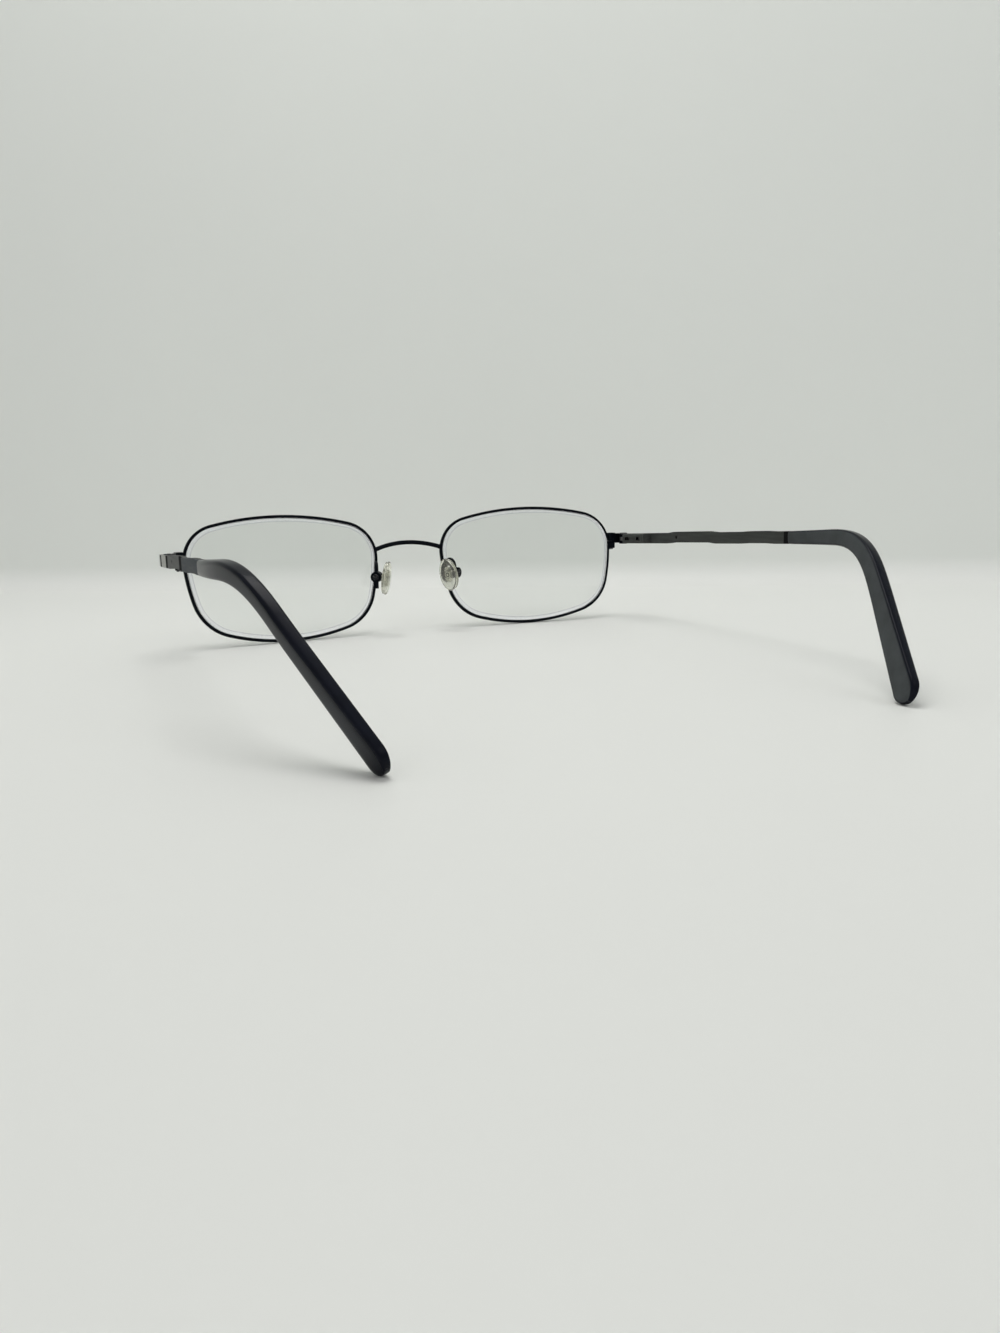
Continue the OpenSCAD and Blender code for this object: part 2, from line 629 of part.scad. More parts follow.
// Pad parts share these axes: +Y faces the nose, -X is the side of the screw's head.
pad_hub = lens_c + [-lens_c.x + bridge_gap/2 + box_out, -box_behind, -box_below];
module at_pad_screw() {
    translate(pad_hub) rotate([0, 0, 180 - pad_turn]) rotate([-pad_lean, 0, 0]) children();
}

// The middle of a pad, turned in the pad's own plane.
module on_pad() {
    translate([0, pad_reach, 0]) rotate([0, pad_tilt, 0]) children();
}

// Pad arm: a wire that rises behind the rim, loops over and ends in the pad box.
module pad_arm() {
    side_x = side_c.x + sqrt(side_r*side_r - pow(foot_below + side_c.y, 2));
    foot_at = lens_c + turned(dished(-side_x - rim_out - arm_r/4, 0, -foot_below));
    foot_p = [foot_at.x, foot_at.y - rim_d/2 - arm_r + arm_seat];
    to_hub = [pad_hub.x - foot_p.x, pad_hub.y - foot_p.y];
    loop_r = norm(to_hub)/2;
    loop_z = pad_hub.z + box_r - 0.15;
    color(navy) union() {
        translate([foot_p.x, foot_p.y, foot_at.z - arm_r])
            cylinder(h = loop_z - foot_at.z + arm_r, r = arm_r + leg_step, $fn = 24);
        translate([foot_p.x, foot_p.y, loop_z]) rotate([0, 0, atan2(to_hub.y, to_hub.x)])
            translate([loop_r, 0, 0]) rotate([90, 0, 0])
            rotate_extrude(angle = 180) translate([loop_r, 0]) circle(r = arm_r, $fn = 24);
        difference() {
            union() {
                at_pad_screw() rotate([0, 90, 0]) cylinder(h = 2*box_half, r = box_r, center = true);
                translate([pad_hub.x, pad_hub.y, pad_hub.z + box_r/2])
                    cylinder(h = loop_z - pad_hub.z - box_r/2, r = arm_r, $fn = 24);
            }
            at_pad_screw() {
                translate([-tab_t/2 - 0.08, -1.1, -3]) cube([tab_t + 0.16, 4, 3 + box_r - 0.45]);
                rotate([0, 90, 0]) cylinder(h = 4*box_half, r = pad_screw_r + run_fit/2, center = true);
            }
        }
    }
}

module pad_screw() {
    color(steel) at_pad_screw() translate([-box_half, 0, 0]) rotate([0, 90, 0])
        screw(pad_screw_r, 2*box_half, 0.8, 0.35);
}

// The insert: an eye on the pad screw, a tab and a plate moulded into the pad.
module pad_insert() {
    color(steel) at_pad_screw() difference() {
        union() {
            rotate([0, 90, 0]) cylinder(h = tab_t, r = 0.85, center = true);
            translate([-tab_t/2, 0, -0.6]) cube([tab_t, pad_reach, 1.2]);
            on_pad() rotate([90, 0, 0]) linear_extrude(0.5) rounded(2.4, 4.2, 1.1);
        }
        rotate([0, 90, 0]) cylinder(h = 2*tab_t, r = pad_screw_r + run_fit, center = true);
    }
}

// The pad: a soft oval with a domed face towards the nose.
module nose_pad() {
    rows = [[0.5, 0.56], [0.82, 0.42], [1, 0.1], [1, -0.15], [0.88, -0.38], [0.5, -0.44]];
    color(clear_pad) at_pad_screw() on_pad() skin([for (row = rows)
        [for (j = [0:23]) let (a = 15*j) [pad_w/2*row[0]*cos(a), pad_t*row[1], pad_h/2*row[0]*sin(a)]]]);
}

module left() {
    $lean = -hinge_lean;
    mirror([1, 0, 0]) children();
}

bridge();
rim();  // right_rim
lens();  // right_lens
closing_block_upper();  // right_closing_block_upper
closing_block_lower();  // right_closing_block_lower
closing_screw();  // right_closing_screw
end_piece();  // right_end_piece
hinge_screw();  // right_hinge_screw
hinge_tongue();  // right_hinge_tongue
tongue_nut();  // right_tongue_nut
hinge_spring();  // right_hinge_spring
hinge_housing();  // right_hinge_housing
housing_plug();  // right_housing_plug
temple_bar();  // right_temple_bar
temple_tip();  // right_temple_tip
pad_arm();  // right_pad_arm
pad_screw();  // right_pad_screw
pad_insert();  // right_pad_insert
nose_pad();  // right_nose_pad
left() rim();  // left_rim
left() lens();  // left_lens
left() closing_block_upper();  // left_closing_block_upper
left() closing_block_lower();  // left_closing_block_lower
left() closing_screw();  // left_closing_screw
left() end_piece();  // left_end_piece
left() hinge_screw();  // left_hinge_screw
left() hinge_tongue();  // left_hinge_tongue
left() tongue_nut();  // left_tongue_nut
left() hinge_spring();  // left_hinge_spring
left() hinge_housing();  // left_hinge_housing
left() housing_plug();  // left_housing_plug
left() temple_bar();  // left_temple_bar
left() temple_tip();  // left_temple_tip
left() pad_arm();  // left_pad_arm
left() pad_screw();  // left_pad_screw
left() pad_insert();  // left_pad_insert
left() nose_pad();  // left_nose_pad
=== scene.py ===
import json
import math

import bmesh
import bpy
import numpy as np
from bpy.props import FloatProperty, FloatVectorProperty, PointerProperty
from mathutils import Matrix


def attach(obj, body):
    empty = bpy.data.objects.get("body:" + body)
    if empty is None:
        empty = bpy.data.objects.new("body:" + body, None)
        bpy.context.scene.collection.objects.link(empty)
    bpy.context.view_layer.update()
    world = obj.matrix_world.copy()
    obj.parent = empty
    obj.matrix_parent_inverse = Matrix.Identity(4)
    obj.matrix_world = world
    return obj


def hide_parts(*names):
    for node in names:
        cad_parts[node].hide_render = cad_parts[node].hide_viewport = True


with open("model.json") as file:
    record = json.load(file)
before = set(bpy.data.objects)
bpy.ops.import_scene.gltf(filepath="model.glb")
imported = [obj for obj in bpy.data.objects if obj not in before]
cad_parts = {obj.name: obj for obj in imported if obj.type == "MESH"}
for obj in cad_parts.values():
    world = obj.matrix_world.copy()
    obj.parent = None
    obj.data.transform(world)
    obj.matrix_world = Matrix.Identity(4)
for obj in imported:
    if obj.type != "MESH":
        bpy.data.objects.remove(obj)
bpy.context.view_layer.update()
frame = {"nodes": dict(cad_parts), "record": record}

bl_info = {
    "name": "Metal eyeglass frame",
    "version": (1, 0, 0),
    "blender": (4, 5, 0),
    "location": "View3D > Sidebar > Eyeglasses",
    "description": "Dresses the eyeglass frame: rims, lenses, bars, tips, pads, finishes and a plain studio",
    "category": "Add Mesh",
}

SIDES = (("right", 1.0), ("left", -1.0))


def length(label, about, size):
    """A length property: size is in millimetres, the property holds metres."""
    return FloatProperty(name=label, description=about, default=size / 1000, unit="LENGTH", precision=5)


def angle(label, about, size):
    """An angle property: size is in degrees, the property holds radians."""
    return FloatProperty(name=label, description=about, default=math.radians(size), subtype="ANGLE")


def colour(label, about, value):
    """A colour property: value is red, green and blue from 0 to 1, in linear light."""
    return FloatVectorProperty(name=label, description=about, default=value, subtype="COLOR",
                               min=0.0, max=1.0)


class LensSizes(bpy.types.PropertyGroup):
    width: length("Lens width", "Width of one lens", 51)
    height: length("Lens height", "Height of one lens", 32.6)
    middle_x: length("Lens middle", "Distance of the lens middle from the centre plane", 35.1836)
    middle_y: length("Lens front", "Place of the lens middle along the frame", 66.9)
    middle_z: length("Lens level", "Height of the lens middle above the table", 16.4902)
    top_radius: length("Top radius", "Radius of the outline along the top", 74.7)
    corner_radius: length("Corner radius", "Radius of the upper corners", 9.5)
    side_radius: length("Side radius", "Radius of the sides", 49.2)
    lower_radius: length("Lower corner radius", "Radius of the lower corners", 11.9)
    bottom_radius: length("Bottom radius", "Radius of the outline along the bottom", 55.6)
    lower_inset: length("Lower inset", "How far the lower corners stand in", 1.25)
    dish: length("Dish radius", "Radius of the sphere that the lenses follow", 200)
    thickness: length("Lens thickness", "Thickness of a lens where it is thinnest", 1.5)
    more: length("Outer thickening", "How much thicker a lens is at its outer side, all of it behind", 0.4)
    thin_at: length("Thinnest place", "Distance of the thinnest place from the middle, towards the nose", 11)
    chamfer: length("Rear chamfer depth", "Depth of the chamfer round the back of a lens", 0.2)
    chamfer_width: length("Rear chamfer width", "Width of the chamfer round the back of a lens", 0.75)
    # The line inside the chamfer is painted shade, where refraction darkens the lens
    line_width: length("Painted shade line", "Width of the painted shade line inside the chamfer", 0.22)
    shoulder: length("Bevel height", "How far the bevel stands out of the lens", 0.4)
    lean: angle("Lean", "Lean of the lenses, top forwards", 9.8)
    wrap: angle("Wrap", "Turn of each lens back towards the temple", 4.65)
    split_up: length("Split height", "Height of the rim's split above the upper corner's centre", 0.6)
    split_gap: length("Split gap", "Gap where the rim is split", 0.12)
    rim_inner: length("Rim inside", "How far the rim reaches in over the lens", 0.3)
    rim_outer: length("Rim outside", "How far the rim reaches out", 0.5)
    rim_depth: length("Rim depth", "Depth of the rim wire", 1.4)
    groove: length("Groove depth", "Depth of the rim's groove beyond the lens edge", 0.05)
    bridge_wire: length("Bridge wire", "Diameter of the bridge wire", 1.25)
    bridge_up: length("Bridge height", "Height of the bridge ends above the lens middle", 6.5)
    bridge_rise: length("Bridge rise", "Rise of the bridge in the middle", 1.6)
    bridge_bow: length("Bridge bow", "How far the bridge bows forwards", 1.5)


class TempleSizes(bpy.types.PropertyGroup):
    seam_x: length("Seam across", "Distance of the tip's front end from the centre plane", 64.2588)
    seam_y: length("Seam along", "Place of the tip's front end along the frame", -15.4284)
    seam_z: length("Seam level", "Height of the tip's front end", 26.6229)
    rise: angle("Bar rise", "Upward slope of the bar towards the back", 2.6)
    tip_length: length("Tip length", "Length of a tip along its curve", 66.45)
    bend_start: length("Bend start", "Start of the downward bend", 13.8)
    bend_end: length("Bend end", "End of the downward bend", 37.7)
    in_end: length("Inward bend end", "End of the inward bend", 44.5)
    drop: angle("Tip drop", "Slope of the tip's straight end below level", 40.6)
    tip_in: angle("Tip inward", "Inward slope of the tip's straight end", 27.2)
    twist: angle("Tip twist", "Twist of the tip's faces at its end", 21)
    seam_thickness: length("Seam thickness", "Thickness of a tip at its front end", 2.4)
    bend_thickness: length("Bend thickness", "Thickness of a tip behind the bend", 2.5)
    end_thickness: length("End thickness", "Thickness of a tip at its rear end", 2.0)
    seam_height: length("Seam height", "Height of a tip's faces at its front end", 2.9)
    bend_height: length("Bend height", "Height of a tip's faces behind the bend", 4.05)
    end_height: length("End height", "Height of a tip's faces at its rear end", 5.85)


class HingeSizes(bpy.types.PropertyGroup):
    hinge_x: length("Hinge across", "Distance of the hinge axis from the centre plane", 63.7033)
    hinge_y: length("Hinge along", "Place of the hinge axis along the frame", 59.8186)
    inward: angle("Bar inward", "Inward slope of the bar towards the back", 1.1)
    front_groove: length("Front groove", "Distance of the front groove behind the hinge", 15.45)
    rear_groove: length("Rear groove", "Distance of the rear groove behind the hinge", 43.75)
    bar_hole: length("Bar hole", "Distance of the bar's small hole behind the hinge", 27.2)
    first_slot: length("First slot", "Distance of the housing's first slot behind the hinge", 4.45)
    second_slot: length("Second slot", "Distance of the housing's second slot behind the hinge", 10.65)
    rod_middle: length("Rod middle", "Distance of the middle of the guide rod behind the hinge", 12.2)
    band: length("Groove band", "Half width of the black band round each groove", 2.2)
    bar_length: length("Bar length", "Length of the bar from the hinge to the tip", 75.3)
    # The black ring at each bar's end is painted shade of the gap where the bar meets its tip
    seam_shade_length: length("Seam shade", "Length of the black ring at the end of each bar", 1.9)


class PadSizes(bpy.types.PropertyGroup):
    hub_x: length("Pad screw across", "Distance of the pad screw from the centre plane", 11.2)
    hub_y: length("Pad screw along", "Place of the pad screw along the frame", 61.65)
    hub_z: length("Pad screw level", "Height of the pad screw", 16.0402)
    turn: angle("Pad turn", "Direction that a pad faces, turned in from straight back", 60)
    lean: angle("Pad lean", "Lean of the pads, tops inwards", 8)
    tilt: angle("Pad tilt", "Turn of the pads in their own plane, tops forwards", 6)
    reach: length("Pad reach", "Distance of a pad from its screw", 2.65)
    height: length("Pad height", "Height of a nose pad", 9)
    width: length("Pad width", "Width of a nose pad", 6.1)
    thickness: length("Pad thickness", "Thickness of a nose pad", 1.8)


class FinishColours(bpy.types.PropertyGroup):
    lacquer: colour("Lacquer", "Near-black navy lacquer of the rims", (0.0030, 0.0040, 0.0058))
    bar: colour("Bar", "Gunmetal lacquer of the bars' inner faces and edges", (0.050, 0.053, 0.050))
    bar_middle: colour("Bar middle", "Outer face of the bars between the bands", (0.105, 0.108, 0.106))
    bar_rear: colour("Bar rear", "Blue-grey outer face of the bars, rear part", (0.050, 0.058, 0.066))
    corner: colour("Corner", "Polished outside of end pieces and of the bars' front", (0.35, 0.345, 0.325))
    tip_face: colour("Tip face", "Matte inner face of the tips", (0.060, 0.066, 0.069))
    tip_edge: colour("Tip edge", "Glossy rear and outer faces of the tips", (0.0050, 0.0062, 0.0115))
    steel: colour("Steel", "Plated steel of screws and hinge tongues", (0.20, 0.20, 0.20))
    lens: colour("Lens", "Clear lens", (0.925, 0.94, 0.93))
    pad: colour("Pad", "Clear soft pad", (0.96, 0.96, 0.86))
    floor: colour("Table", "Pale table", (0.80, 0.81, 0.785))
    wall: colour("Wall", "Pale wall behind the table", (0.86, 0.885, 0.85))


# Meshes

def ease(t):
    """Smooth step from 0 to 1: t squared times (3 - 2 t), with t held between 0 and 1."""
    t = np.clip(t, 0.0, 1.0)
    return t * t * (3 - 2 * t)


def rounded(share, power):
    """A cosine or sine to a power, with its sign kept: it turns a circle into a superellipse."""
    return np.sign(share) * np.abs(share) ** power


def grid_faces(rows, columns, around=True):
    """Quads of a grid of rows by columns points; around joins each row's end to its start."""
    row = np.arange(rows - 1)[:, None] * columns
    column = np.arange(columns if around else columns - 1)[None, :]
    beside = (column + 1) % columns
    quads = np.stack([row + column, row + beside, row + columns + beside, row + columns + column], -1)
    return quads.reshape(-1, 4)


def fan_faces(centre, ring, outwards):
    """Triangles from one centre point to a closed ring of points."""
    step = np.roll(ring, -1)
    order = (ring, step) if outwards else (step, ring)
    return np.stack([np.full(len(ring), centre), order[0], order[1]], 1)


def closed_tube(rings):
    """Points and faces of a closed surface through an array of rings, with a centre point at each end."""
    rows, columns = rings.shape[:2]
    points = np.concatenate([rings.reshape(-1, 3), rings[:1].mean(1), rings[-1:].mean(1)])
    ring = np.arange(columns)
    last = (rows - 1) * columns + ring
    faces = [grid_faces(rows, columns), fan_faces(rows * columns, ring, False),
             fan_faces(rows * columns + 1, last, True)]
    return points, faces


def tube_kinds(rows, columns):
    """Material numbers of a closed tube's faces: one for each row of quads, and 0 for both end fans."""
    return np.concatenate([np.repeat(rows, columns), np.zeros(2 * columns, int)])


def mirrored(points, sign):
    """The left side is the right side with X turned round."""
    return points * np.array([sign, 1.0, 1.0])


def side_body(side, body):
    """The front is one body, and each other body has a right and a left one."""
    return body if body == "front" else f"{side}_{body}"


def add_object(name, data):
    """An object for a mesh, camera or lamp, linked to the scene."""
    made = bpy.data.objects.new(name, data)
    bpy.context.scene.collection.objects.link(made)
    return made


def smooth(mesh, sharp):
    """Smooth shading, with the edges left sharp that turn by more than sharp degrees."""
    mesh.shade_smooth()
    mesh.set_sharp_from_angle(angle=math.radians(sharp))


def make_piece(name, points, faces, body, materials, kinds=None, sharp=40.0):
    """A mesh object from an array of points and a list of face arrays, riding on a body.

    kinds holds each face's material number, and the normals are turned outwards."""
    mesh = bpy.data.meshes.new(name)
    mesh.from_pydata(points.reshape(-1, 3).tolist(), [], [f for part in faces for f in part.tolist()])
    for material in materials:
        mesh.materials.append(material)
    if kinds is not None:
        mesh.polygons.foreach_set("material_index", kinds)
    mesh.validate()
    piece = add_object(name, mesh)
    turned = bmesh.new()
    turned.from_mesh(mesh)
    bmesh.ops.recalc_face_normals(turned, faces=turned.faces)
    turned.to_mesh(mesh)
    turned.free()
    smooth(mesh, sharp)
    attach(piece, body)
    return piece


def make_pair(name, node, rings, body, materials, kinds=None, sharp=40.0):
    """Closed tubes through the right side's rings and their mirror image, in place of any node named."""
    pieces = []
    for side, sign in SIDES:
        points, faces = closed_tube(mirrored(rings, sign))
        piece = make_piece(f"{side}_{name}", points, faces, side_body(side, body), materials,
                           kinds, sharp)
        if node:
            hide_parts(f"{side}_{node}")
        pieces.append(piece)
    return pieces


# Lenses and rims

def arc_stations(centre, radius, start, end, spacing):
    """Points on an arc with their outward angle: centre plus radius times (cos, sin) of the angle."""
    count = max(2, int(abs(end - start) * radius / spacing))
    turn = np.linspace(start, end, count, endpoint=False)
    return np.stack([centre[0] + radius * np.cos(turn), centre[1] + radius * np.sin(turn), turn], 1)


def corner_centre(s):
    """Centre of the upper outer corner's arc, which reaches half the width and touches the top arc."""
    x = s.width / 2 - s.corner_radius
    return x, s.height / 2 - s.top_radius + math.sqrt((s.top_radius - s.corner_radius) ** 2 - x * x)


def lens_outline(s, start_gap=0.0, spacing=0.0005):
    """Nine arcs, each tangent to the next, from the split on the outer corner round to it again.

    Two arcs touch where their centres are as far apart as their radii differ. So the side's centre is the
    third corner of a triangle on the centres of the upper and lower corners, with foot the foot of its
    height. Each row is a point's place across and up, and its outward angle."""
    flip = np.array([-1.0, 1.0])
    top = np.array([0.0, s.height / 2 - s.top_radius])
    corner = np.array(corner_centre(s))
    bottom = np.array([0.0, s.bottom_radius - s.height / 2])
    x = s.width / 2 - s.lower_inset - s.lower_radius
    lower = np.array([x, bottom[1] - math.sqrt((s.bottom_radius - s.lower_radius) ** 2 - x * x)])
    apart = np.linalg.norm(lower - corner)
    along = (lower - corner) / apart
    from_corner, from_lower = s.side_radius - s.corner_radius, s.side_radius - s.lower_radius
    foot = (from_corner ** 2 - from_lower ** 2 + apart ** 2) / (2 * apart)
    side = corner + foot * along
    side = side + math.sqrt(from_corner ** 2 - foot ** 2) * np.array([along[1], -along[0]])
    top_turn = math.atan2(*(corner - top)[::-1])
    high_turn = math.atan2(*(corner - side)[::-1])
    low_turn = math.atan2(*(lower - side)[::-1])
    bottom_turn = math.atan2(*(lower - bottom)[::-1])
    split = math.asin(s.split_up / s.corner_radius)
    gap = start_gap / s.corner_radius
    pi, full = math.pi, 2 * math.pi
    arcs = [(corner, s.corner_radius, split + gap, top_turn),
            (top, s.top_radius, top_turn, pi - top_turn),
            (corner * flip, s.corner_radius, pi - top_turn, pi - high_turn),
            (side * flip, s.side_radius, pi - high_turn, pi - low_turn),
            (lower * flip, s.lower_radius, pi - low_turn, pi - bottom_turn),
            (bottom, s.bottom_radius, pi - bottom_turn, full + bottom_turn),
            (lower, s.lower_radius, full + bottom_turn, full + low_turn),
            (side, s.side_radius, full + low_turn, full + high_turn),
            (corner, s.corner_radius, full + high_turn, full + split - gap)]
    stations = np.concatenate([arc_stations(*arc, spacing) for arc in arcs])
    if start_gap:
        end = full + split - gap
        last = [corner[0] + s.corner_radius * math.cos(end), corner[1] + s.corner_radius * math.sin(end), end]
        stations = np.concatenate([stations, np.array([last])])
    return stations


def lens_place(s, u, v, ahead):
    """From the lens plane to the frame: ahead less (u^2 + v^2) / (2 dish), wrapped, leaned and moved."""
    depth = ahead - (u * u + v * v) / (2 * s.dish)
    x = u * math.cos(s.wrap) + depth * math.sin(s.wrap)
    y = depth * math.cos(s.wrap) - u * math.sin(s.wrap)
    placed = [x + s.middle_x, y * math.cos(s.lean) + v * math.sin(s.lean) + s.middle_y,
              v * math.cos(s.lean) - y * math.sin(s.lean) + s.middle_z]
    return np.stack(np.broadcast_arrays(*placed), -1)


def rim_profile(s):
    """The wire's section, out and forward: a V groove inside and a rounded back outside.

    The back is a superellipse, the cosine to the power 0.55 out and the sine to the power 0.75 forward,
    times half the wire's width and depth. Beside the groove, small bevels lead to flat lands."""
    most_turn, bevel_out, bevel_on, land_end = 78, 0.00003, 0.00005, 0.00016
    turn = np.radians(np.linspace(-most_turn, most_turn, 15))
    middle = (s.rim_outer - s.rim_inner) / 2
    half = (s.rim_outer + s.rim_inner) / 2
    outer_out = middle + half * rounded(np.cos(turn), 0.55)
    outer_on = s.rim_depth / 2 * rounded(np.sin(turn), 0.75)
    land = s.rim_depth / 2 - land_end
    lip = s.thickness / 4
    rear = [[s.groove, 0.0], [-s.rim_inner + bevel_out, -lip], [-s.rim_inner, -lip - bevel_on],
            [-s.rim_inner, -land]]
    front = [[out, -on] for out, on in rear[:0:-1]]
    return np.concatenate([rear, np.stack([outer_out, outer_on], 1), front])


def build_rims():
    """The wire's section carried round the outline, each point out along the outline's normal."""
    s = bpy.context.scene.eyeglass_lens
    outline = lens_outline(s, start_gap=s.split_gap / 2)
    profile = rim_profile(s)
    u = outline[:, :1] + profile[None, :, 0] * np.cos(outline[:, 2:3])
    v = outline[:, 1:2] + profile[None, :, 0] * np.sin(outline[:, 2:3])
    rings = lens_place(s, u, v, profile[None, :, 1])
    make_pair("rim_wire", "rim", rings, "front", [finish_lacquer()], sharp=50)


def behind(s, u, v):
    """Extra depth of a lens's back: it grows with the square of the distance from the thinnest place."""
    return s.more * ((u + s.thin_at) ** 2 + v * v) / (s.width / 2 + s.thin_at) ** 2


def build_lenses():
    """Rings of the outline drawn in towards the middle on both faces, joined round the bevelled edge.

    The front follows the dish and the back lies deeper by the extra depth. Behind the bevel, a polished
    wall and a chamfer lead to the back, where a narrow grey line of painted shade runs round inside the
    chamfer."""
    s = bpy.context.scene.eyeglass_lens
    broken_edge, ridge, play = 0.00006, 0.00002, 0.00003
    outline = lens_outline(s, spacing=0.0006)
    outward = np.stack([np.cos(outline[:, 2]), np.sin(outline[:, 2])], 1)
    wall, half, lip = -s.shoulder, s.thickness / 2, s.thickness / 4 - play
    shares = np.linspace(0.04, 1.0, 25)

    def drawn(out):
        """The outline moved out by a distance."""
        return (outline[:, :2] + out * outward).T

    def rear(u, v, ahead=0.0):
        """Places on the back, or ahead of it by a distance."""
        return lens_place(s, u, v, ahead - half - behind(s, u, v))

    front_edge, chamfer_end = drawn(wall - broken_edge), drawn(wall - s.chamfer_width)
    line_end = drawn(wall - s.chamfer_width - s.line_width)
    rings = [lens_place(s, *(share * front_edge), half) for share in shares]
    rings += [lens_place(s, *drawn(out), ahead) for out, ahead in (
        (wall, half - broken_edge), (wall, lip), (0.0, ridge), (0.0, -ridge), (wall, -lip))]
    rings += [rear(*drawn(wall), s.chamfer), rear(*chamfer_end)]
    rings += [rear(*(share * line_end)) for share in shares[::-1]]
    rings = np.stack(rings)
    rows, columns = rings.shape[:2]
    # 0 on both faces, 1 round the polished edge and 2 on the line of painted shade
    face_rows = len(shares) - 1
    zones = np.ones(rows - 1, int)
    zones[:face_rows] = 0
    zones[-face_rows:] = 0
    zones[-face_rows - 1] = 2
    make_pair("clear_lens", "lens", rings, "front",
              [finish_lens(), finish_lens_edge(), finish_lens_line_shade()], tube_kinds(zones, columns), sharp=25)


def build_bridge():
    """A round wire on a circle arc whose plane leans forwards, with a little solder at both ends.

    The arc's radius is (half span squared plus sag squared) / (2 sag). The wire's radius grows at the ends
    by the solder's share, with the distance from the middle to the power 30."""
    s = bpy.context.scene.eyeglass_lens
    solder, solder_power, flattened = 0.22, 30, 0.92
    corner_u, corner_v = corner_centre(s)
    inner_u = -(corner_u + math.sqrt(s.corner_radius ** 2 - (s.bridge_up - corner_v) ** 2))
    end = lens_place(s, np.array(inner_u - s.rim_outer / 2), np.array(s.bridge_up), 0.0)
    sag = math.hypot(s.bridge_rise, s.bridge_bow)
    radius = (end[0] ** 2 + sag ** 2) / (2 * sag)
    half_turn = math.asin(end[0] / radius)
    lean = math.atan2(s.bridge_bow, s.bridge_rise)
    t = np.linspace(-1, 1, 81)[:, None]
    around = np.linspace(0, 2 * math.pi, 28, endpoint=False)[None, :]
    turn = t * half_turn
    wire = s.bridge_wire / 2 * (1 + solder * np.abs(t) ** solder_power)
    out = radius + wire * np.cos(around) * flattened
    x, drop, beside = out * np.sin(turn), out * np.cos(turn) - radius, wire * np.sin(around)
    y = beside * math.cos(lean) + drop * math.sin(lean) + end[1] + s.bridge_bow
    z = drop * math.cos(lean) - beside * math.sin(lean) + end[2] + s.bridge_rise
    points, faces = closed_tube(np.stack(np.broadcast_arrays(x, y, z), -1))
    piece = make_piece("bridge_wire", points, faces, "front", [finish_lacquer()])
    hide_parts("bridge")


# Temples

def tip_path(s, bar_inward, at):
    """Centre, outward and upward directions of a tip at distances along it.

    The slope falls from the bar's rise to the drop by a smooth step between the bend's ends, the inward
    turn grows by a smooth step from the seam, and the centre is the running sum of both."""
    ahead, beyond, steps = 0.004, 0.002, 1400
    fine = np.linspace(-ahead, s.tip_length + beyond, steps)

    def turned(distance):
        """Direction of the path at distances along it, and its inward turn there."""
        bend = ease((distance - s.bend_start) / (s.bend_end - s.bend_start))
        slope = s.rise - (s.drop + s.rise) * bend
        inward = bar_inward + (s.tip_in - bar_inward) * ease(distance / s.in_end)
        way = np.stack([-np.sin(inward) * np.cos(slope), -np.cos(inward) * np.cos(slope), np.sin(slope)], -1)
        return way, inward

    way, _ = turned(fine)
    step = fine[1] - fine[0]
    path = np.concatenate([np.zeros((1, 3)), np.cumsum((way[1:] + way[:-1]) / 2 * step, 0)])
    start = np.stack([np.interp(0.0, fine, path[:, k]) for k in range(3)])
    path = path - start + np.array([s.seam_x, s.seam_y, s.seam_z])
    centre = np.stack([np.interp(at, fine, path[:, k]) for k in range(3)], -1)
    way, inward = turned(at)
    out = np.stack([np.cos(inward), -np.sin(inward), 0 * inward], -1)
    up = np.cross(way, out)
    roll = -s.twist * ease(at / s.in_end)[:, None]
    return centre, out * np.cos(roll) + up * np.sin(roll), up * np.cos(roll) - out * np.sin(roll)


def build_tips():
    """A rectangle with soft corners, a superellipse, carried along the tip's curve, with round ends.

    The rear end is a half circle seen from the side: its height goes with the cosine as the distance goes
    with the sine, and its thickness falls less. The inner face is marked as matte."""
    s = bpy.context.scene.eyeglass_temple
    soft_corner, least_thickness, matte_start, matte_run = 0.42, 0.45, 0.86, 0.1
    end = s.end_height / 2
    # Distance from the seam, and the share of the full section there
    front = np.array([[0.00012, 0.82], [0.00016, 0.90], [0.00026, 0.95], [0.00042, 0.98], [0.00075, 1.0]])
    # Angles round the half circle at the rear end
    tail = np.radians(np.array([6, 14, 22, 30, 38, 46, 54, 62, 70, 77, 83, 87]))
    at = np.concatenate([front[:, 0], np.linspace(0.001, s.tip_length - end, 150),
                         s.tip_length - end * (1 - np.sin(tail))])
    along = [0, s.bend_end, s.tip_length]
    thickness = np.interp(at, along, [s.seam_thickness, s.bend_thickness, s.end_thickness])
    height = np.interp(at, along, [s.seam_height, s.bend_height, s.end_height])
    thickness[:len(front)] *= front[:, 1]
    height[:len(front)] *= front[:, 1]
    thickness[-len(tail):] *= least_thickness + (1 - least_thickness) * np.cos(tail)
    height[-len(tail):] *= np.cos(tail)
    columns = 48
    around = 2 * np.pi * (np.arange(columns) + 0.5) / columns
    across = rounded(np.cos(around), soft_corner)
    upright = rounded(np.sin(around), soft_corner)
    centre, out, up = tip_path(s, bpy.context.scene.eyeglass_hinge.inward, at)
    rings = (centre[:, None] + out[:, None] * (thickness[:, None] / 2 * across)[..., None]
             + up[:, None] * (height[:, None] / 2 * upright)[..., None])
    # 1 on the inner face, falling to 0 round its corners
    matte = np.broadcast_to(ease((-across - matte_start) / matte_run)[None, :], rings.shape[:2]).reshape(-1)
    marks = np.concatenate([matte, [0.5, 0.5]]).astype(np.float32)
    for piece in make_pair("tip_sheath", "temple_tip", rings, "temple", [finish_tip()],
                           sharp=60):
        mask = piece.data.attributes.new("inner_face", "FLOAT", "POINT")
        mask.data.foreach_set("value", marks)


# Nose pads

# Each row is a share of a pad's half size and a depth as a share of its thickness
PAD_SIDE = ((1.0, 0.08), (0.985, 0.03), (0.94, -0.02), (0.915, -0.07), (0.93, -0.12), (0.965, -0.17))
PAD_BACK = ((0.5, -0.44), (0.3, -0.43), (0.12, -0.43))
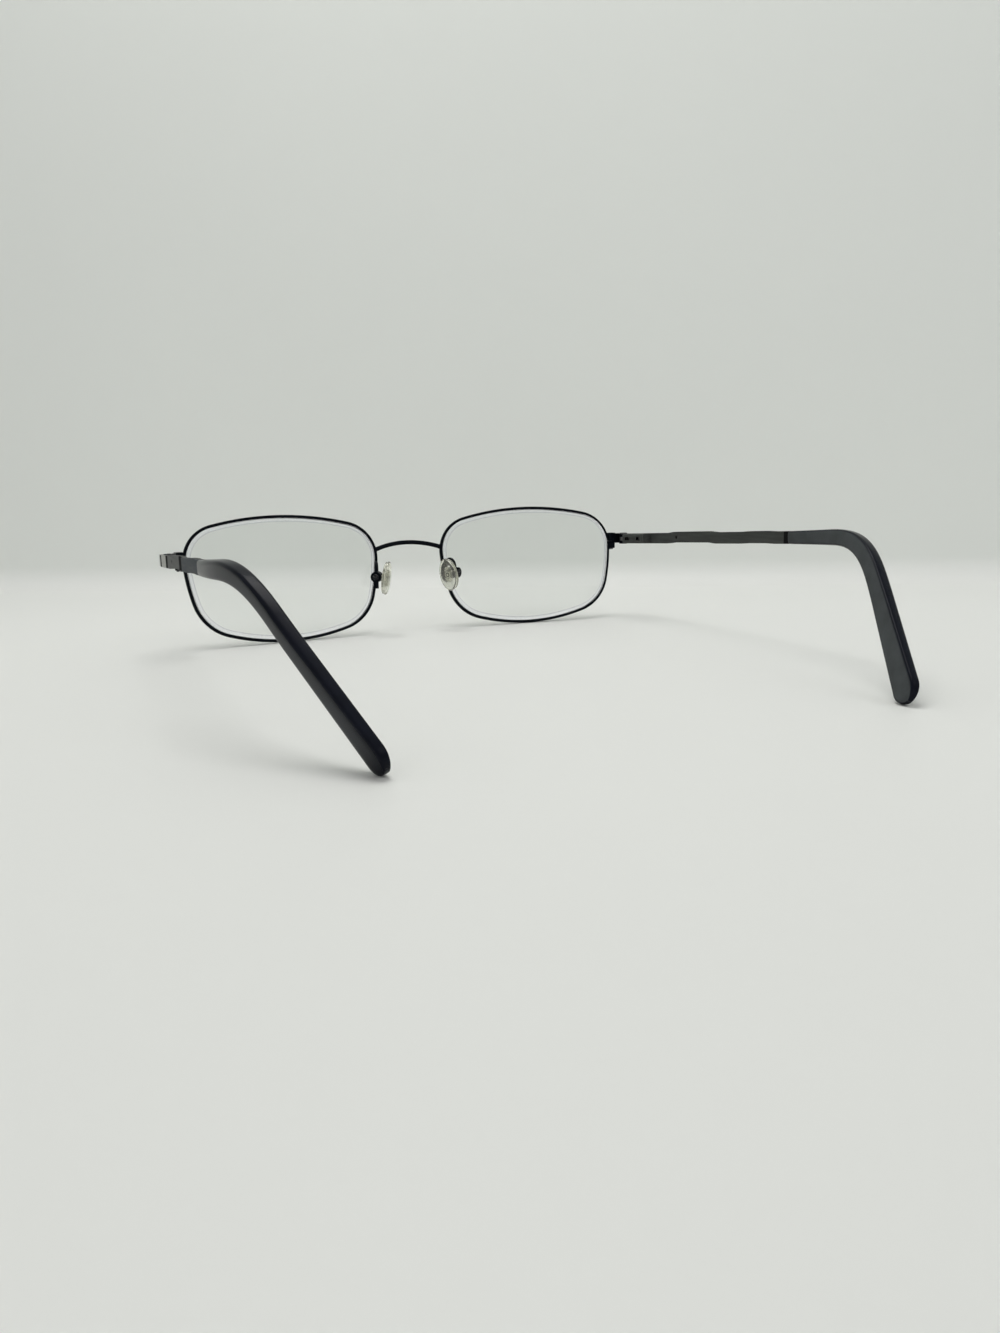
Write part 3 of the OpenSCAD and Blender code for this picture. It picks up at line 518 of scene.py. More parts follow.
# Radius and height of the stud's profile, in millimetres
STUD_PROFILE = ((0.20, 0.34), (0.38, 0.33), (0.43, 0.16), (0.60, 0.16), (0.64, 0.31), (0.76, 0.31),
                (0.84, 0.24), (0.86, 0.02))
# The stretches of that profile that are painted with shade, the groove's walls and floor, counted from 0
STUD_SHADED_GROOVE = (1, 2, 3)


def pad_place(s, points):
    """From a pad's middle, with +Y towards the nose, to the frame: tilted, moved out, leaned and turned."""
    turn, lean = math.pi - s.turn, -s.lean
    x, y, z = points[..., 0], points[..., 1], points[..., 2]
    x, z = x * math.cos(s.tilt) + z * math.sin(s.tilt), z * math.cos(s.tilt) - x * math.sin(s.tilt)
    y = y + s.reach
    y, z = y * math.cos(lean) - z * math.sin(lean), y * math.sin(lean) + z * math.cos(lean)
    x, y = x * math.cos(turn) - y * math.sin(turn), x * math.sin(turn) + y * math.cos(turn)
    return np.stack([x + s.hub_x, y + s.hub_y, z + s.hub_z], -1)


def pad_depth(s, points):
    """Distance of points in front of a pad's middle, along the way that the pad faces."""
    turn, lean = math.pi - s.turn, -s.lean
    x, y, z = np.abs(points[:, 0]) - s.hub_x, points[:, 1] - s.hub_y, points[:, 2] - s.hub_z
    y = y * math.cos(turn) - x * math.sin(turn)
    return y * math.cos(lean) + z * math.sin(lean) - s.reach


def build_pads():
    """An oval carried from the domed face to the back: each row is a share of its half size and a depth.

    On the dome the share grows with the sine, most of it to the power 0.72, and the depth falls with the
    cosine. A shallow groove runs round the side, and the flat back has a rim that is a quarter ellipse. The
    oval's sides are drawn in a little towards the top."""
    s = bpy.context.scene.eyeglass_pad
    drawn_in = 0.06
    dome = np.linspace(0.06, 1.0, 16) * math.pi / 2
    rim = np.linspace(0.0, 0.95, 9) * math.pi / 2
    rows = np.concatenate([
        np.stack([0.30 * np.sin(dome) + 0.70 * np.sin(dome) ** 0.72, 0.14 + 0.42 * np.cos(dome)], 1),
        np.array(PAD_SIDE),
        np.stack([0.62 + 0.35 * np.cos(rim), -0.20 - 0.24 * np.sin(rim)], 1),
        np.array(PAD_BACK)])
    around = np.linspace(0, 2 * math.pi, 64, endpoint=False)[None, :]
    share, depth = rows[:, :1], rows[:, 1:]
    x = s.width / 2 * share * np.cos(around) * (1 - drawn_in * np.sin(around))
    z = s.height / 2 * share * np.sin(around)
    rings = pad_place(s, np.stack(np.broadcast_arrays(x, depth * s.thickness, z), -1))
    make_pair("soft_pad", "nose_pad", rings, "pad", [finish_pad()], sharp=60)


def build_studs():
    """A small riveted stud on the plate in each pad, turned from a profile of radius and height, with painted
    shade in its groove.
    """
    profile = np.array(STUD_PROFILE) / 1000
    around = np.linspace(0, 2 * math.pi, 40, endpoint=False)[None, :]
    radius, height = profile[:, :1], profile[:, 1:]
    rings = np.stack(np.broadcast_arrays(radius * np.cos(around), height, radius * np.sin(around)), -1)
    rings = pad_place(bpy.context.scene.eyeglass_pad, rings)
    # The groove's faces get painted shade
    groove = np.isin(np.arange(len(profile) - 1), STUD_SHADED_GROOVE).astype(int)
    make_pair("pad_stud", None, rings, "pad", [finish_core(), finish_painted_recess_shade()],
              tube_kinds(groove, rings.shape[1]))


# Metalwork: merged copies of the solids with their edges broken

# Node, piece, body, material slot, width of the broken edge in metres and its segments
METALWORK = (
    ("temple_bar", "bar", "temple", "bar_metal", 0.00022, 3),
    ("hinge_housing", "spring_housing", "temple", "bar_metal", 0.00006, 2),
    ("end_piece", "end_piece_ribbon", "front", "front_metal", 0.00016, 3),
    ("closing_block_upper", "upper_block", "front", "front_metal", 0.00018, 3),
    ("closing_block_lower", "lower_block", "front", "front_metal", 0.00018, 3),
    ("pad_arm", "pad_wire_and_box", "front", "front_metal", 0.00014, 2),
    ("closing_screw", "rim_screw", "front", "pin_steel", 0.00008, 2),
    ("hinge_screw", "temple_screw", "front", "pin_steel", 0.00008, 2),
    ("pad_screw", "pad_pivot_screw", "front", "pin_steel", 0.00008, 2),
    ("hinge_tongue", "spring_tongue", "tongue", "pin_steel", 0.00006, 2),
    ("pad_insert", "pad_core", "pad", "pin_steel", 0.00010, 2),
)
# Node, the hinge size that says how far back a recess lies, half of its length, and its least and most
# distance out from the hinge axis, in metres; the faces of each recess are painted with shade
RECESSES = (
    ("temple_bar", "front_groove", 0.0003, 0.0018, 0.00262),
    ("temple_bar", "rear_groove", 0.0003, 0.0018, 0.00262),
    ("temple_bar", "bar_hole", 0.0005, 0.00136, 0.00262),
    ("hinge_housing", "first_slot", 0.00125, -0.00122, -0.0002),
    ("hinge_housing", "second_slot", 0.00105, -0.00122, -0.0002),
    # The whole tongue, whose guide rod shows through the housing's slots, is painted with shade
    ("hinge_tongue", "rod_middle", 0.01, -0.01, 0.01),
)
# The polished faces of an end piece: least share of the normal and least distance out from the hinge axis
OUTER_FACE_NORMAL, OUTER_FACE_OUT = 0.35, 0.001
UPPER_FACE_NORMAL, UPPER_FACE_OUT = 0.8, 0.0001
# The faces of a pad's insert that are its plate lie in front of this depth
PLATE_DEPTH = -0.00055
# Distance in metres at which points merge, and angles in degrees of flat faces and of sharp edges
MERGE_DISTANCE, FLAT_ANGLE, SHARP_EDGE = 1e-6, 0.6, 35


def face_middles(mesh):
    """Middle and normal of each face of a mesh, as two arrays."""
    middles, normals = np.zeros(len(mesh.polygons) * 3), np.zeros(len(mesh.polygons) * 3)
    mesh.polygons.foreach_get("center", middles)
    mesh.polygons.foreach_get("normal", normals)
    return middles.reshape(-1, 3), normals.reshape(-1, 3)


def face_kinds(mesh, node):
    """0 for the plain finish, 1 for a face in a recess, which is painted with shade, 2 for a face with the
    second finish.

    A face lies back by the hinge's Y less its own, and out by the size of its X less the hinge's, set
    straight along the bar's inward slope."""
    middles, normals = face_middles(mesh)
    s = bpy.context.scene.eyeglass_hinge
    back = s.hinge_y - middles[:, 1]
    out = np.abs(middles[:, 0]) - s.hinge_x + back * math.tan(s.inward)
    kinds = np.zeros(len(mesh.polygons), np.int32)
    for holder, place, half, least, most in RECESSES:
        if holder == node:
            # Faces in a recess get painted shade
            kinds[(np.abs(back - getattr(s, place)) < half) & (out > least) & (out < most)] = 1
    if node == "end_piece":
        outer = (normals[:, 0] * np.sign(middles[:, 0]) > OUTER_FACE_NORMAL) & (out > OUTER_FACE_OUT)
        upper = (normals[:, 2] > UPPER_FACE_NORMAL) & (out > UPPER_FACE_OUT)
        kinds[outer | upper] = 2
    elif node == "pad_insert":
        kinds[pad_depth(bpy.context.scene.eyeglass_pad, middles) > PLATE_DEPTH] = 2
    return kinds


def merged_copy(mesh, name):
    """A copy of a solid's loose triangles with its points merged and its flat faces joined."""
    copy = mesh.copy()
    copy.name = name
    merge = bmesh.new()
    merge.from_mesh(copy)
    bmesh.ops.remove_doubles(merge, verts=merge.verts, dist=MERGE_DISTANCE)
    bmesh.ops.dissolve_limit(merge, angle_limit=math.radians(FLAT_ANGLE), verts=merge.verts,
                             edges=merge.edges)
    merge.to_mesh(copy)
    merge.free()
    copy.materials.clear()
    return copy


def break_edges(piece, width, segments):
    """A live bevel of the given width on every edge that is sharp."""
    bevel = piece.modifiers.new("broken edges", "BEVEL")
    bevel.width = width
    bevel.segments = segments
    bevel.limit_method = "ANGLE"
    bevel.angle_limit = math.radians(SHARP_EDGE)
    bevel.use_clamp_overlap = True
    bevel.harden_normals = True


def build_metalwork():
    """Each solid of the table, merged, with its edges broken and its finish, the painted shade of its
    recesses and its second finish.
    """
    for side, _ in SIDES:
        for node, name, body, slot, width, segments in METALWORK:
            mesh = merged_copy(frame["nodes"][f"{side}_{node}"].data, f"{side}_{name}")
            plain = node_finish(node, slot)
            for material in (plain, finish_painted_recess_shade, SECOND_FINISHES.get(node, plain)):
                mesh.materials.append(material())
            mesh.polygons.foreach_set("material_index", face_kinds(mesh, node))
            piece = add_object(mesh.name, mesh)
            smooth(mesh, SHARP_EDGE)
            break_edges(piece, width, segments)
            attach(piece, side_body(side, body))
            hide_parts(f"{side}_{node}")


# Finishes

# Distances out from the hinge axis between which a bar's outer face begins, in metres
BAR_FACE_START, BAR_FACE_END = 0.0023, 0.00245
# Middle and half width of the black band at the hinge, which is painted shade of the hinge's gap, and the
# runs over which tints, bands and painted shade fade
HINGE_GAP_SHADE, HINGE_GAP_SHADE_HALF = 0.0013, 0.0012
TINT_FADE, BAND_FADE, SEAM_SHADE_FADE = 0.001, 0.00012, 0.0001
# Black of the bands round the grooves, and of the painted shade at the hinge's gap and at the seam with the
# tip
BLACK_BANDS_AND_PAINTED_SHADE = (0.004, 0.004, 0.005)


def palette():
    """The colours that a user can change."""
    return bpy.context.scene.eyeglass_colours


def shade(tone, factor):
    """A colour with each of its shares multiplied by a factor."""
    return tuple(share * factor for share in tone)


def finish(name):
    """A new material with its shader, or the one of that name that is already there."""
    known = bpy.data.materials.get(name)
    if known:
        return known, None, None
    material = bpy.data.materials.new(name)
    material.use_nodes = True
    nodes = material.node_tree.nodes
    return material, material.node_tree, nodes["Principled BSDF"]


def connect(tree, value, target):
    """Links a socket to an input, or writes a number or a colour into it."""
    if isinstance(value, bpy.types.NodeSocket):
        tree.links.new(value, target)
    else:
        target.default_value = (*value, 1.0) if target.type == "RGBA" else value


def feed(tree, shader, values):
    """Gives each named input of the shader its socket, number or colour."""
    for key, value in values.items():
        connect(tree, value, shader.inputs[key])


def axes(tree, kind="Object"):
    """X, Y and Z of the piece's own coordinates, or of another kind of texture coordinate."""
    coordinates = tree.nodes.new("ShaderNodeTexCoord")
    split = tree.nodes.new("ShaderNodeSeparateXYZ")
    tree.links.new(coordinates.outputs[kind], split.inputs["Vector"])
    return split.outputs


def object_noise(tree, scale, detail=3.0, stretch=(1, 1, 1)):
    """Noise on the piece's own coordinates; scale counts cells in a metre."""
    coordinates = tree.nodes.new("ShaderNodeTexCoord")
    mapping = tree.nodes.new("ShaderNodeMapping")
    mapping.inputs["Scale"].default_value = stretch
    noise = tree.nodes.new("ShaderNodeTexNoise")
    noise.inputs["Scale"].default_value = scale
    noise.inputs["Detail"].default_value = detail
    tree.links.new(coordinates.outputs["Object"], mapping.inputs["Vector"])
    tree.links.new(mapping.outputs["Vector"], noise.inputs["Vector"])
    return noise.outputs["Fac"]


def spread(tree, value, low, high, start=0.3, end=0.7):
    """Maps a value from start..end to low..high, and holds it there outside."""
    node = tree.nodes.new("ShaderNodeMapRange")
    for key, number in (("From Min", start), ("From Max", end), ("To Min", low), ("To Max", high)):
        node.inputs[key].default_value = number
    tree.links.new(value, node.inputs["Value"])
    return node.outputs["Result"]


def blend(tree, share, first, second):
    """Mixes two colours, each a tuple or a socket, by a share socket."""
    node = tree.nodes.new("ShaderNodeMix")
    node.data_type = "RGBA"
    tree.links.new(share, node.inputs["Factor"])
    for key, value in (("A", first), ("B", second)):
        connect(tree, value, [i for i in node.inputs if i.name == key and i.type == "RGBA"][0])
    return [o for o in node.outputs if o.type == "RGBA"][0]


def maths(tree, operation, first, second=0.0):
    """One Math node; each of its two values is a socket or a number."""
    node = tree.nodes.new("ShaderNodeMath")
    node.operation = operation
    for index, value in enumerate((first, second)):
        connect(tree, value, node.inputs[index])
    return node.outputs[0]


def bump(tree, shader, height, strength, distance):
    """Dents the shader's normal by a height socket; distance is the full depth in metres."""
    node = tree.nodes.new("ShaderNodeBump")
    node.inputs["Strength"].default_value = strength
    node.inputs["Distance"].default_value = distance
    tree.links.new(height, node.inputs["Height"])
    tree.links.new(node.outputs["Normal"], shader.inputs["Normal"])


def clouded(name, noise, dark, pale, rough, values, reach=(0.3, 0.7), dents=None):
    """A finish whose colour goes from dark to pale, and its roughness from low to high, with one noise.

    noise is its scale and detail, reach the noise values between which it spreads, values the constants
    of the shader, and dents the scale, strength and depth of a bump."""
    material, tree, shader = finish(name)
    if tree:
        cloud = spread(tree, object_noise(tree, *noise), 0, 1, *reach)
        feed(tree, shader, {"Base Color": blend(tree, cloud, dark, pale),
                            "Roughness": spread(tree, cloud, *rough, 0, 1), **values})
        if dents:
            scale, strength, depth = dents
            bump(tree, shader, object_noise(tree, scale), strength, depth)
    return material


def finish_lacquer():
    """Near-black gloss lacquer with faint clouds and a few paler rubbed spots."""
    material, tree, shader = finish("navy lacquer")
    if tree:
        tone = palette().lacquer
        clouds = blend(tree, spread(tree, object_noise(tree, 900, 5), 0, 1), tone, shade(tone, 1.8))
        rubbed = spread(tree, object_noise(tree, 2600, 6), 0, 0.5, 0.66, 0.74)
        feed(tree, shader, {"Base Color": blend(tree, rubbed, clouds, shade(tone, 6)), "IOR": 1.1,
                            "Roughness": spread(tree, object_noise(tree, 4000), 0.24, 0.36)})
        bump(tree, shader, object_noise(tree, 6000), 0.12, 0.00002)
    return material


def bar_places(tree):
    """Shares for the bars: 1 outside, 1 in the polished front, 1 behind the rear groove, 1 in a black band
    round a groove or in painted shade at the hinge's gap and at the seam with the tip.

    The distance back from the hinge is the hinge's Y less the Object Y, and the distance out is the size of
    the Object X, set straight along the bar's inward slope, less the hinge's X."""
    s = bpy.context.scene.eyeglass_hinge
    own = axes(tree)
    back = maths(tree, "SUBTRACT", s.hinge_y, own["Y"])
    straight = maths(tree, "MULTIPLY", back, math.tan(s.inward))
    out = maths(tree, "ADD", maths(tree, "ABSOLUTE", own["X"]), straight)
    outside = spread(tree, out, 0, 1, s.hinge_x + BAR_FACE_START, s.hinge_x + BAR_FACE_END)
    polished = spread(tree, back, 1, 0, s.front_groove - TINT_FADE, s.front_groove)
    rear = spread(tree, back, 0, 1, s.rear_groove - TINT_FADE, s.rear_groove)
    dark_bands_and_gap_shade = 0.0
    # Black bands round the grooves, and painted shade of the hinge's gap
    for place, half in ((HINGE_GAP_SHADE, HINGE_GAP_SHADE_HALF), (s.front_groove, s.band), (s.rear_groove, s.band)):
        apart = maths(tree, "ABSOLUTE", maths(tree, "SUBTRACT", back, place))
        dark_bands_and_gap_shade = maths(tree, "MAXIMUM", spread(tree, apart, 1, 0, half, half + BAND_FADE), dark_bands_and_gap_shade)
    # Painted shade of the gap at the seam with the tip: a black ring at the bar's end
    seam_shade_start = s.bar_length - s.seam_shade_length
    ring = spread(tree, back, 0, 1, seam_shade_start - SEAM_SHADE_FADE, seam_shade_start)
    dark_bands_and_gap_shade = maths(tree, "MAXIMUM", maths(tree, "MULTIPLY", dark_bands_and_gap_shade, outside), ring)
    return outside, maths(tree, "MULTIPLY", polished, outside), maths(tree, "MULTIPLY", rear, outside), dark_bands_and_gap_shade


def finish_bar():
    """Satin gunmetal lacquer, brushed along the bar, with a polished front, black bands outside, and painted
    shade at the hinge's gap and at the tip's seam.
    """
    material, tree, shader = finish("gunmetal lacquer")
    if tree:
        tones = palette()
        brushed = object_noise(tree, 1500, 4, (1, 0.05, 1))
        plain = blend(tree, spread(tree, brushed, 0, 1), shade(tones.bar, 0.8), shade(tones.bar, 1.3))
        outside, polished, rear, dark_bands_and_gap_shade = bar_places(tree)
        tinted = blend(tree, outside, plain, tones.bar_middle)
        tinted = blend(tree, rear, tinted, tones.bar_rear)
        tinted = blend(tree, polished, tinted, tones.corner)
        metal = maths(tree, "MULTIPLY", polished, maths(tree, "SUBTRACT", 1.0, dark_bands_and_gap_shade))
        satin = spread(tree, brushed, 0.54, 0.64)
        rougher, smoother = maths(tree, "MULTIPLY", dark_bands_and_gap_shade, 0.25), maths(tree, "MULTIPLY", metal, 0.22)
        change = maths(tree, "SUBTRACT", rougher, smoother)
        # Black in the bands and in the painted shade of the gaps
        feed(tree, shader, {"Base Color": blend(tree, dark_bands_and_gap_shade, tinted, BLACK_BANDS_AND_PAINTED_SHADE), "IOR": 1.2,
                            "Metallic": maths(tree, "MULTIPLY", metal, 0.85),
                            "Roughness": maths(tree, "ADD", satin, change)})
        bump(tree, shader, brushed, 0.12, 0.00002)
    return material


def finish_corner():
    """Polished gunmetal of the end pieces' outer and upper faces."""
    tone = palette().corner
    return clouded("polished corner", noise=(1200, 4), dark=shade(tone, 0.85), pale=tone,
                   rough=(0.24, 0.36), values={"Metallic": 0.85}, dents=(4000, 0.08, 0.00002))


def finish_painted_recess_shade():
    """Painted shade: near-black colour on the faces of slots, grooves, holes and the hidden tongue, where
    shade falls.
    """
    return clouded("painted recess shade", noise=(5000, 4), dark=(0.003, 0.003, 0.004), pale=(0.010, 0.010, 0.010),
                   rough=(0.6, 0.6), values={"IOR": 1.2})


def finish_steel():
    """Plated steel with darker stains."""
    tone = palette().steel
    return clouded("plated steel", noise=(2500, 4), dark=shade(tone, 0.5), pale=tone,
                   rough=(0.28, 0.42), values={"Metallic": 0.9})


def finish_dark_steel():
    """Blackened steel of the pad screws and the springs, rubbed bright in spots."""
    return clouded("blackened steel", noise=(2200, 5), dark=(0.012, 0.013, 0.015), pale=(0.22, 0.22, 0.22),
                   rough=(0.28, 0.4), values={"Metallic": 0.7}, reach=(0.52, 0.66))


def finish_plate():
    """Clear, slightly smoky plate moulded into each pad."""
    return clouded("clear plate", noise=(1200, 3), dark=(0.80, 0.80, 0.72), pale=(0.92, 0.92, 0.84),
                   rough=(0.12, 0.3), values={"Transmission Weight": 0.85, "IOR": 1.49})


def finish_core():
    """Pale nickel of the plates and studs inside the pads."""
    return clouded("nickel core", noise=(1800, 4), dark=(0.56, 0.56, 0.50), pale=(0.74, 0.74, 0.68),
                   rough=(0.3, 0.42), values={"Metallic": 0.7})


def finish_tip():
    """Matte grey inside, glossy navy behind and outside, told apart by the inner_face attribute."""
    material, tree, shader = finish("tip plastic")
    if tree:
        tones = palette()
        mask = tree.nodes.new("ShaderNodeAttribute")
        mask.attribute_name = "inner_face"
        share = mask.outputs["Fac"]
        cloud = spread(tree, object_noise(tree, 260, 4), 0, 1)
        face = blend(tree, cloud, shade(tones.tip_face, 0.85), shade(tones.tip_face, 1.15))
        edge = blend(tree, cloud, shade(tones.tip_edge, 0.8), shade(tones.tip_edge, 1.3))
        scuff = spread(tree, object_noise(tree, 3200, 5), 0, 0.35, 0.64, 0.72)
        face = blend(tree, scuff, face, shade(tones.tip_face, 1.9))
        feed(tree, shader, {"Base Color": blend(tree, share, edge, face), "IOR": 1.17,
                            "Roughness": spread(tree, share, 0.24, 0.5, 0, 1)})
        bump(tree, shader, object_noise(tree, 5000), 0.1, 0.00003)
    return material


def finish_lens():
    """Clear lens with weak reflections and, in places, a faint smear that dulls it."""
    material, tree, shader = finish("clear lens")
    if tree:
        smear = spread(tree, object_noise(tree, 120, 2), 0.0, 0.012, 0.55, 0.8)
        feed(tree, shader, {"Base Color": palette().lens, "Transmission Weight": 1.0, "IOR": 1.5,
                            "Specular IOR Level": 0.1, "Roughness": smear})
    return material


def finish_lens_edge():
    """Polished edge of a lens, with a faint grain and a breath of lilac."""
    return clouded("polished lens edge", noise=(9000, 3), dark=(0.86, 0.86, 0.93), pale=(0.96, 0.96, 1.0),
                   rough=(0.04, 0.16), values={"Transmission Weight": 0.93, "IOR": 1.5})


def finish_lens_line_shade():
    """Painted shade: the faint grey line where the chamfer meets the back of a lens, where refraction darkens
    it.
    """
    return clouded("lens line painted shade", noise=(9000, 3), dark=(0.58, 0.58, 0.66), pale=(0.72, 0.72, 0.80),
                   rough=(0.1, 0.24), values={"Transmission Weight": 0.9, "IOR": 1.5})


def finish_pad():
    """Clear soft plastic, a little cloudy and yellowed, with shallow dimples."""
    tone = palette().pad
    return clouded("clear pad", noise=(700, 3), dark=shade(tone, 0.95), pale=tone, rough=(0.03, 0.12),
                   values={"Transmission Weight": 0.92, "IOR": 1.44}, dents=(1800, 0.15, 0.00005))


# The finish of each material slot, of the nodes that have their own, and of the faces numbered 2
SLOT_FINISHES = {"front_metal": finish_lacquer, "bar_metal": finish_bar, "pin_steel": finish_steel,
                 "tip_plastic": finish_tip, "lens_clear": finish_lens, "pad_clear": finish_pad}
NODE_FINISHES = {"pad_insert": finish_core, "pad_screw": finish_dark_steel,
                 "hinge_spring": finish_dark_steel}
SECOND_FINISHES = {"end_piece": finish_corner, "pad_insert": finish_plate}


def node_finish(node, slot):
    """A node's own finish where it has one, or else that of its slot; the name is without its side."""
    return NODE_FINISHES.get(node, SLOT_FINISHES[slot])


def dress_solids():
    """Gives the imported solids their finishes, for the ones that stay as they are."""
    slots = {part["node"]: part["material_slot"] for part in frame["record"]["subparts"]}
    for name, solid in frame["nodes"].items():
        node = name.removeprefix("right_").removeprefix("left_")
        material = node_finish(node, slots[name])()
        if solid.data.materials:
            for index in range(len(solid.data.materials)):
                solid.data.materials[index] = material
        else:
            solid.data.materials.append(material)


# Stage

# The camera's place in metres, its turns in radians, and its focal length in pixels of the photograph
CAMERA_PLACE = (-0.083842, -0.199820, 0.040393)
CAMERA_YAW, CAMERA_PITCH, CAMERA_ROLL = 0.3915754, -0.1825308, -0.0229559
FOCAL_PIXELS, PICTURE_WIDTH = 998.281, 1000.0
# Width of the camera's sensor in millimetres, and the distances between which it sees, in metres
SENSOR_WIDTH, NEAREST, FURTHEST = 36.0, 0.005, 20.0
# The wall's distance from the camera, its height and turn, and the radius of the sweep at its foot
WALL_REACH, WALL_HEIGHT, WALL_YAW, SWEEP = 0.392, 2.0, 0.53, 0.010
# Half the width of table and wall, and the height where the table's colour starts to turn to the wall's
SHEET_HALF, SWEEP_FADE = 3.0, 0.0005
# Colour and greatest share of the paper's clouds
PAPER_CLOUD, CLOUD_SHARE = (0.5, 0.5, 0.5), 0.02
# Name, place, aim, size, watts and tone of each lamp
LAMPS = (
    ("key_lamp", (0.0, 0.10, 0.55), (0.0, 0.02, 0.0), 0.34, 1.4, (1.0, 0.99, 0.97)),
    ("fill_lamp", (0.30, -0.50, 0.55), (0.0, 0.0, 0.0), 0.5, 0.5, (0.97, 0.98, 1.0)),
)
# Strength of the world's light, its colours low and high, and the heights between which they blend
AIR_STRENGTH, AIR_LOW, AIR_HIGH = 0.55, (0.70, 0.71, 0.70), (1.0, 1.0, 1.0)
AIR_BOTTOM, AIR_TOP = -0.2, 0.8


def camera_axes():
    """Right, up and forward of a camera turned by yaw from +Y, then pitched, then rolled."""
    yaw, pitch, roll = CAMERA_YAW, CAMERA_PITCH, CAMERA_ROLL
    forward = np.array([math.sin(yaw) * math.cos(pitch), math.cos(yaw) * math.cos(pitch), math.sin(pitch)])
    right = np.array([math.cos(yaw), -math.sin(yaw), 0.0])
    up = np.cross(right, forward)
    rolled_right = math.cos(roll) * right + math.sin(roll) * up
    return rolled_right, math.cos(roll) * up - math.sin(roll) * right, forward


def aimed(place, right, up, forward):
    """The matrix of a camera or lamp at a place: its columns are right, up and the reverse of forward."""
    turn = Matrix([[right[k], up[k], -forward[k]] for k in range(3)]).to_4x4()
    return Matrix.Translation(place) @ turn


def build_camera():
    """The camera of the photograph: its lens is the focal length in pixels as a share of the width."""
    data = bpy.data.cameras.new("photo_camera")
    data.sensor_fit = "HORIZONTAL"
    data.sensor_width = SENSOR_WIDTH
    data.lens = FOCAL_PIXELS * SENSOR_WIDTH / PICTURE_WIDTH
    data.clip_start, data.clip_end = NEAREST, FURTHEST
    camera = add_object("photo_camera", data)
    camera.matrix_world = aimed(CAMERA_PLACE, *camera_axes())
    bpy.context.scene.camera = camera


def build_backdrop():
    """A table that sweeps up into a wall: a line, a quarter circle and a line, drawn out sideways."""
    ahead = np.array([math.sin(WALL_YAW), math.cos(WALL_YAW), 0.0])
    aside = np.array([math.cos(WALL_YAW), -math.sin(WALL_YAW), 0.0])
    foot = np.array([CAMERA_PLACE[0], CAMERA_PLACE[1], 0.0])
    turn = np.linspace(0, math.pi / 2, 13)
    reach = np.concatenate([[-SHEET_HALF], WALL_REACH - SWEEP * (1 - np.sin(turn)), [WALL_REACH]])
    rise = np.concatenate([[0.0], SWEEP * (1 - np.cos(turn)), [WALL_HEIGHT]])
    line = foot + reach[:, None] * ahead + rise[:, None] * np.array([0.0, 0.0, 1.0])
    points = np.stack([line - SHEET_HALF * aside, line + SHEET_HALF * aside], 1)
    mesh = bpy.data.meshes.new("table_and_wall")
    mesh.from_pydata(points.reshape(-1, 3).tolist(), [], grid_faces(len(line), 2, around=False).tolist())
    smooth(mesh, 30)
    mesh.materials.append(finish_paper())
    add_object("table_and_wall", mesh)


def finish_paper():
    """Pale paper: the table's colour below and the wall's above, with faint clouds."""
    material, tree, shader = finish("pale paper")
    if tree:
        tones = palette()
        tone = blend(tree, spread(tree, axes(tree)["Z"], 0, 1, SWEEP_FADE, SWEEP), tones.floor, tones.wall)
        cloud = spread(tree, object_noise(tree, 14, 3), 0, CLOUD_SHARE)
        feed(tree, shader, {"Base Color": blend(tree, cloud, tone, PAPER_CLOUD), "Roughness": 0.5,
                            "Specular IOR Level": 0.25})
    return material


def soft_lamp(name, place, aim, size, watts, tone):
    """A round area lamp at a place, turned to look at its aim, which isn't straight above or below it."""
    data = bpy.data.lights.new(name, "AREA")
    data.shape = "DISK"
    data.size = size
    data.energy = watts
    data.color = tone
    forward = np.array(aim) - np.array(place)
    forward = forward / np.linalg.norm(forward)
    right = np.cross(forward, [0.0, 0.0, 1.0])
    right = right / np.linalg.norm(right)
    add_object(name, data).matrix_world = aimed(place, right, np.cross(right, forward), forward)


def build_air():
    """The world's soft light, which grows paler from below the horizon upwards."""
    world = bpy.data.worlds.new("studio air")
    world.use_nodes = True
    tree = world.node_tree
    share = spread(tree, axes(tree, "Generated")["Z"], 0, 1, AIR_BOTTOM, AIR_TOP)
    feed(tree, tree.nodes["Background"], {"Strength": AIR_STRENGTH,
                                          "Color": blend(tree, share, AIR_LOW, AIR_HIGH)})
    bpy.context.scene.world = world


def build_stage():
    """The table and wall, the lamps and the air, shown without a film curve."""
    build_backdrop()
    for lamp in LAMPS:
        soft_lamp(*lamp)
    build_air()
    bpy.context.scene.view_settings.view_transform = "Standard"


class EYEGLASS_OT_stage(bpy.types.Operator):
    """Set the camera, the table, the wall and the lamps"""
    bl_idname = "eyeglass.stage"
    bl_label = "Stage"

    def execute(self, context):
        build_camera()
        build_stage()
        return {"FINISHED"}


class EYEGLASS_OT_rims(bpy.types.Operator):
    """Carry the rim wire's section round both lens outlines"""
    bl_idname = "eyeglass.rims"
    bl_label = "Rims"

    def execute(self, context):
        build_rims()
        return {"FINISHED"}


class EYEGLASS_OT_lenses(bpy.types.Operator):
    """Make the two dished lenses with their bevels and chamfers"""
    bl_idname = "eyeglass.lenses"
    bl_label = "Lenses"

    def execute(self, context):
        build_lenses()
        return {"FINISHED"}


class EYEGLASS_OT_bridge(bpy.types.Operator):
    """Bend the bridge wire between the rims"""
    bl_idname = "eyeglass.bridge"
    bl_label = "Bridge"

    def execute(self, context):
        build_bridge()
        return {"FINISHED"}


class EYEGLASS_OT_tips(bpy.types.Operator):
    """Mould the two temple tips"""
    bl_idname = "eyeglass.tips"
    bl_label = "Temple tips"

    def execute(self, context):
        build_tips()
        return {"FINISHED"}


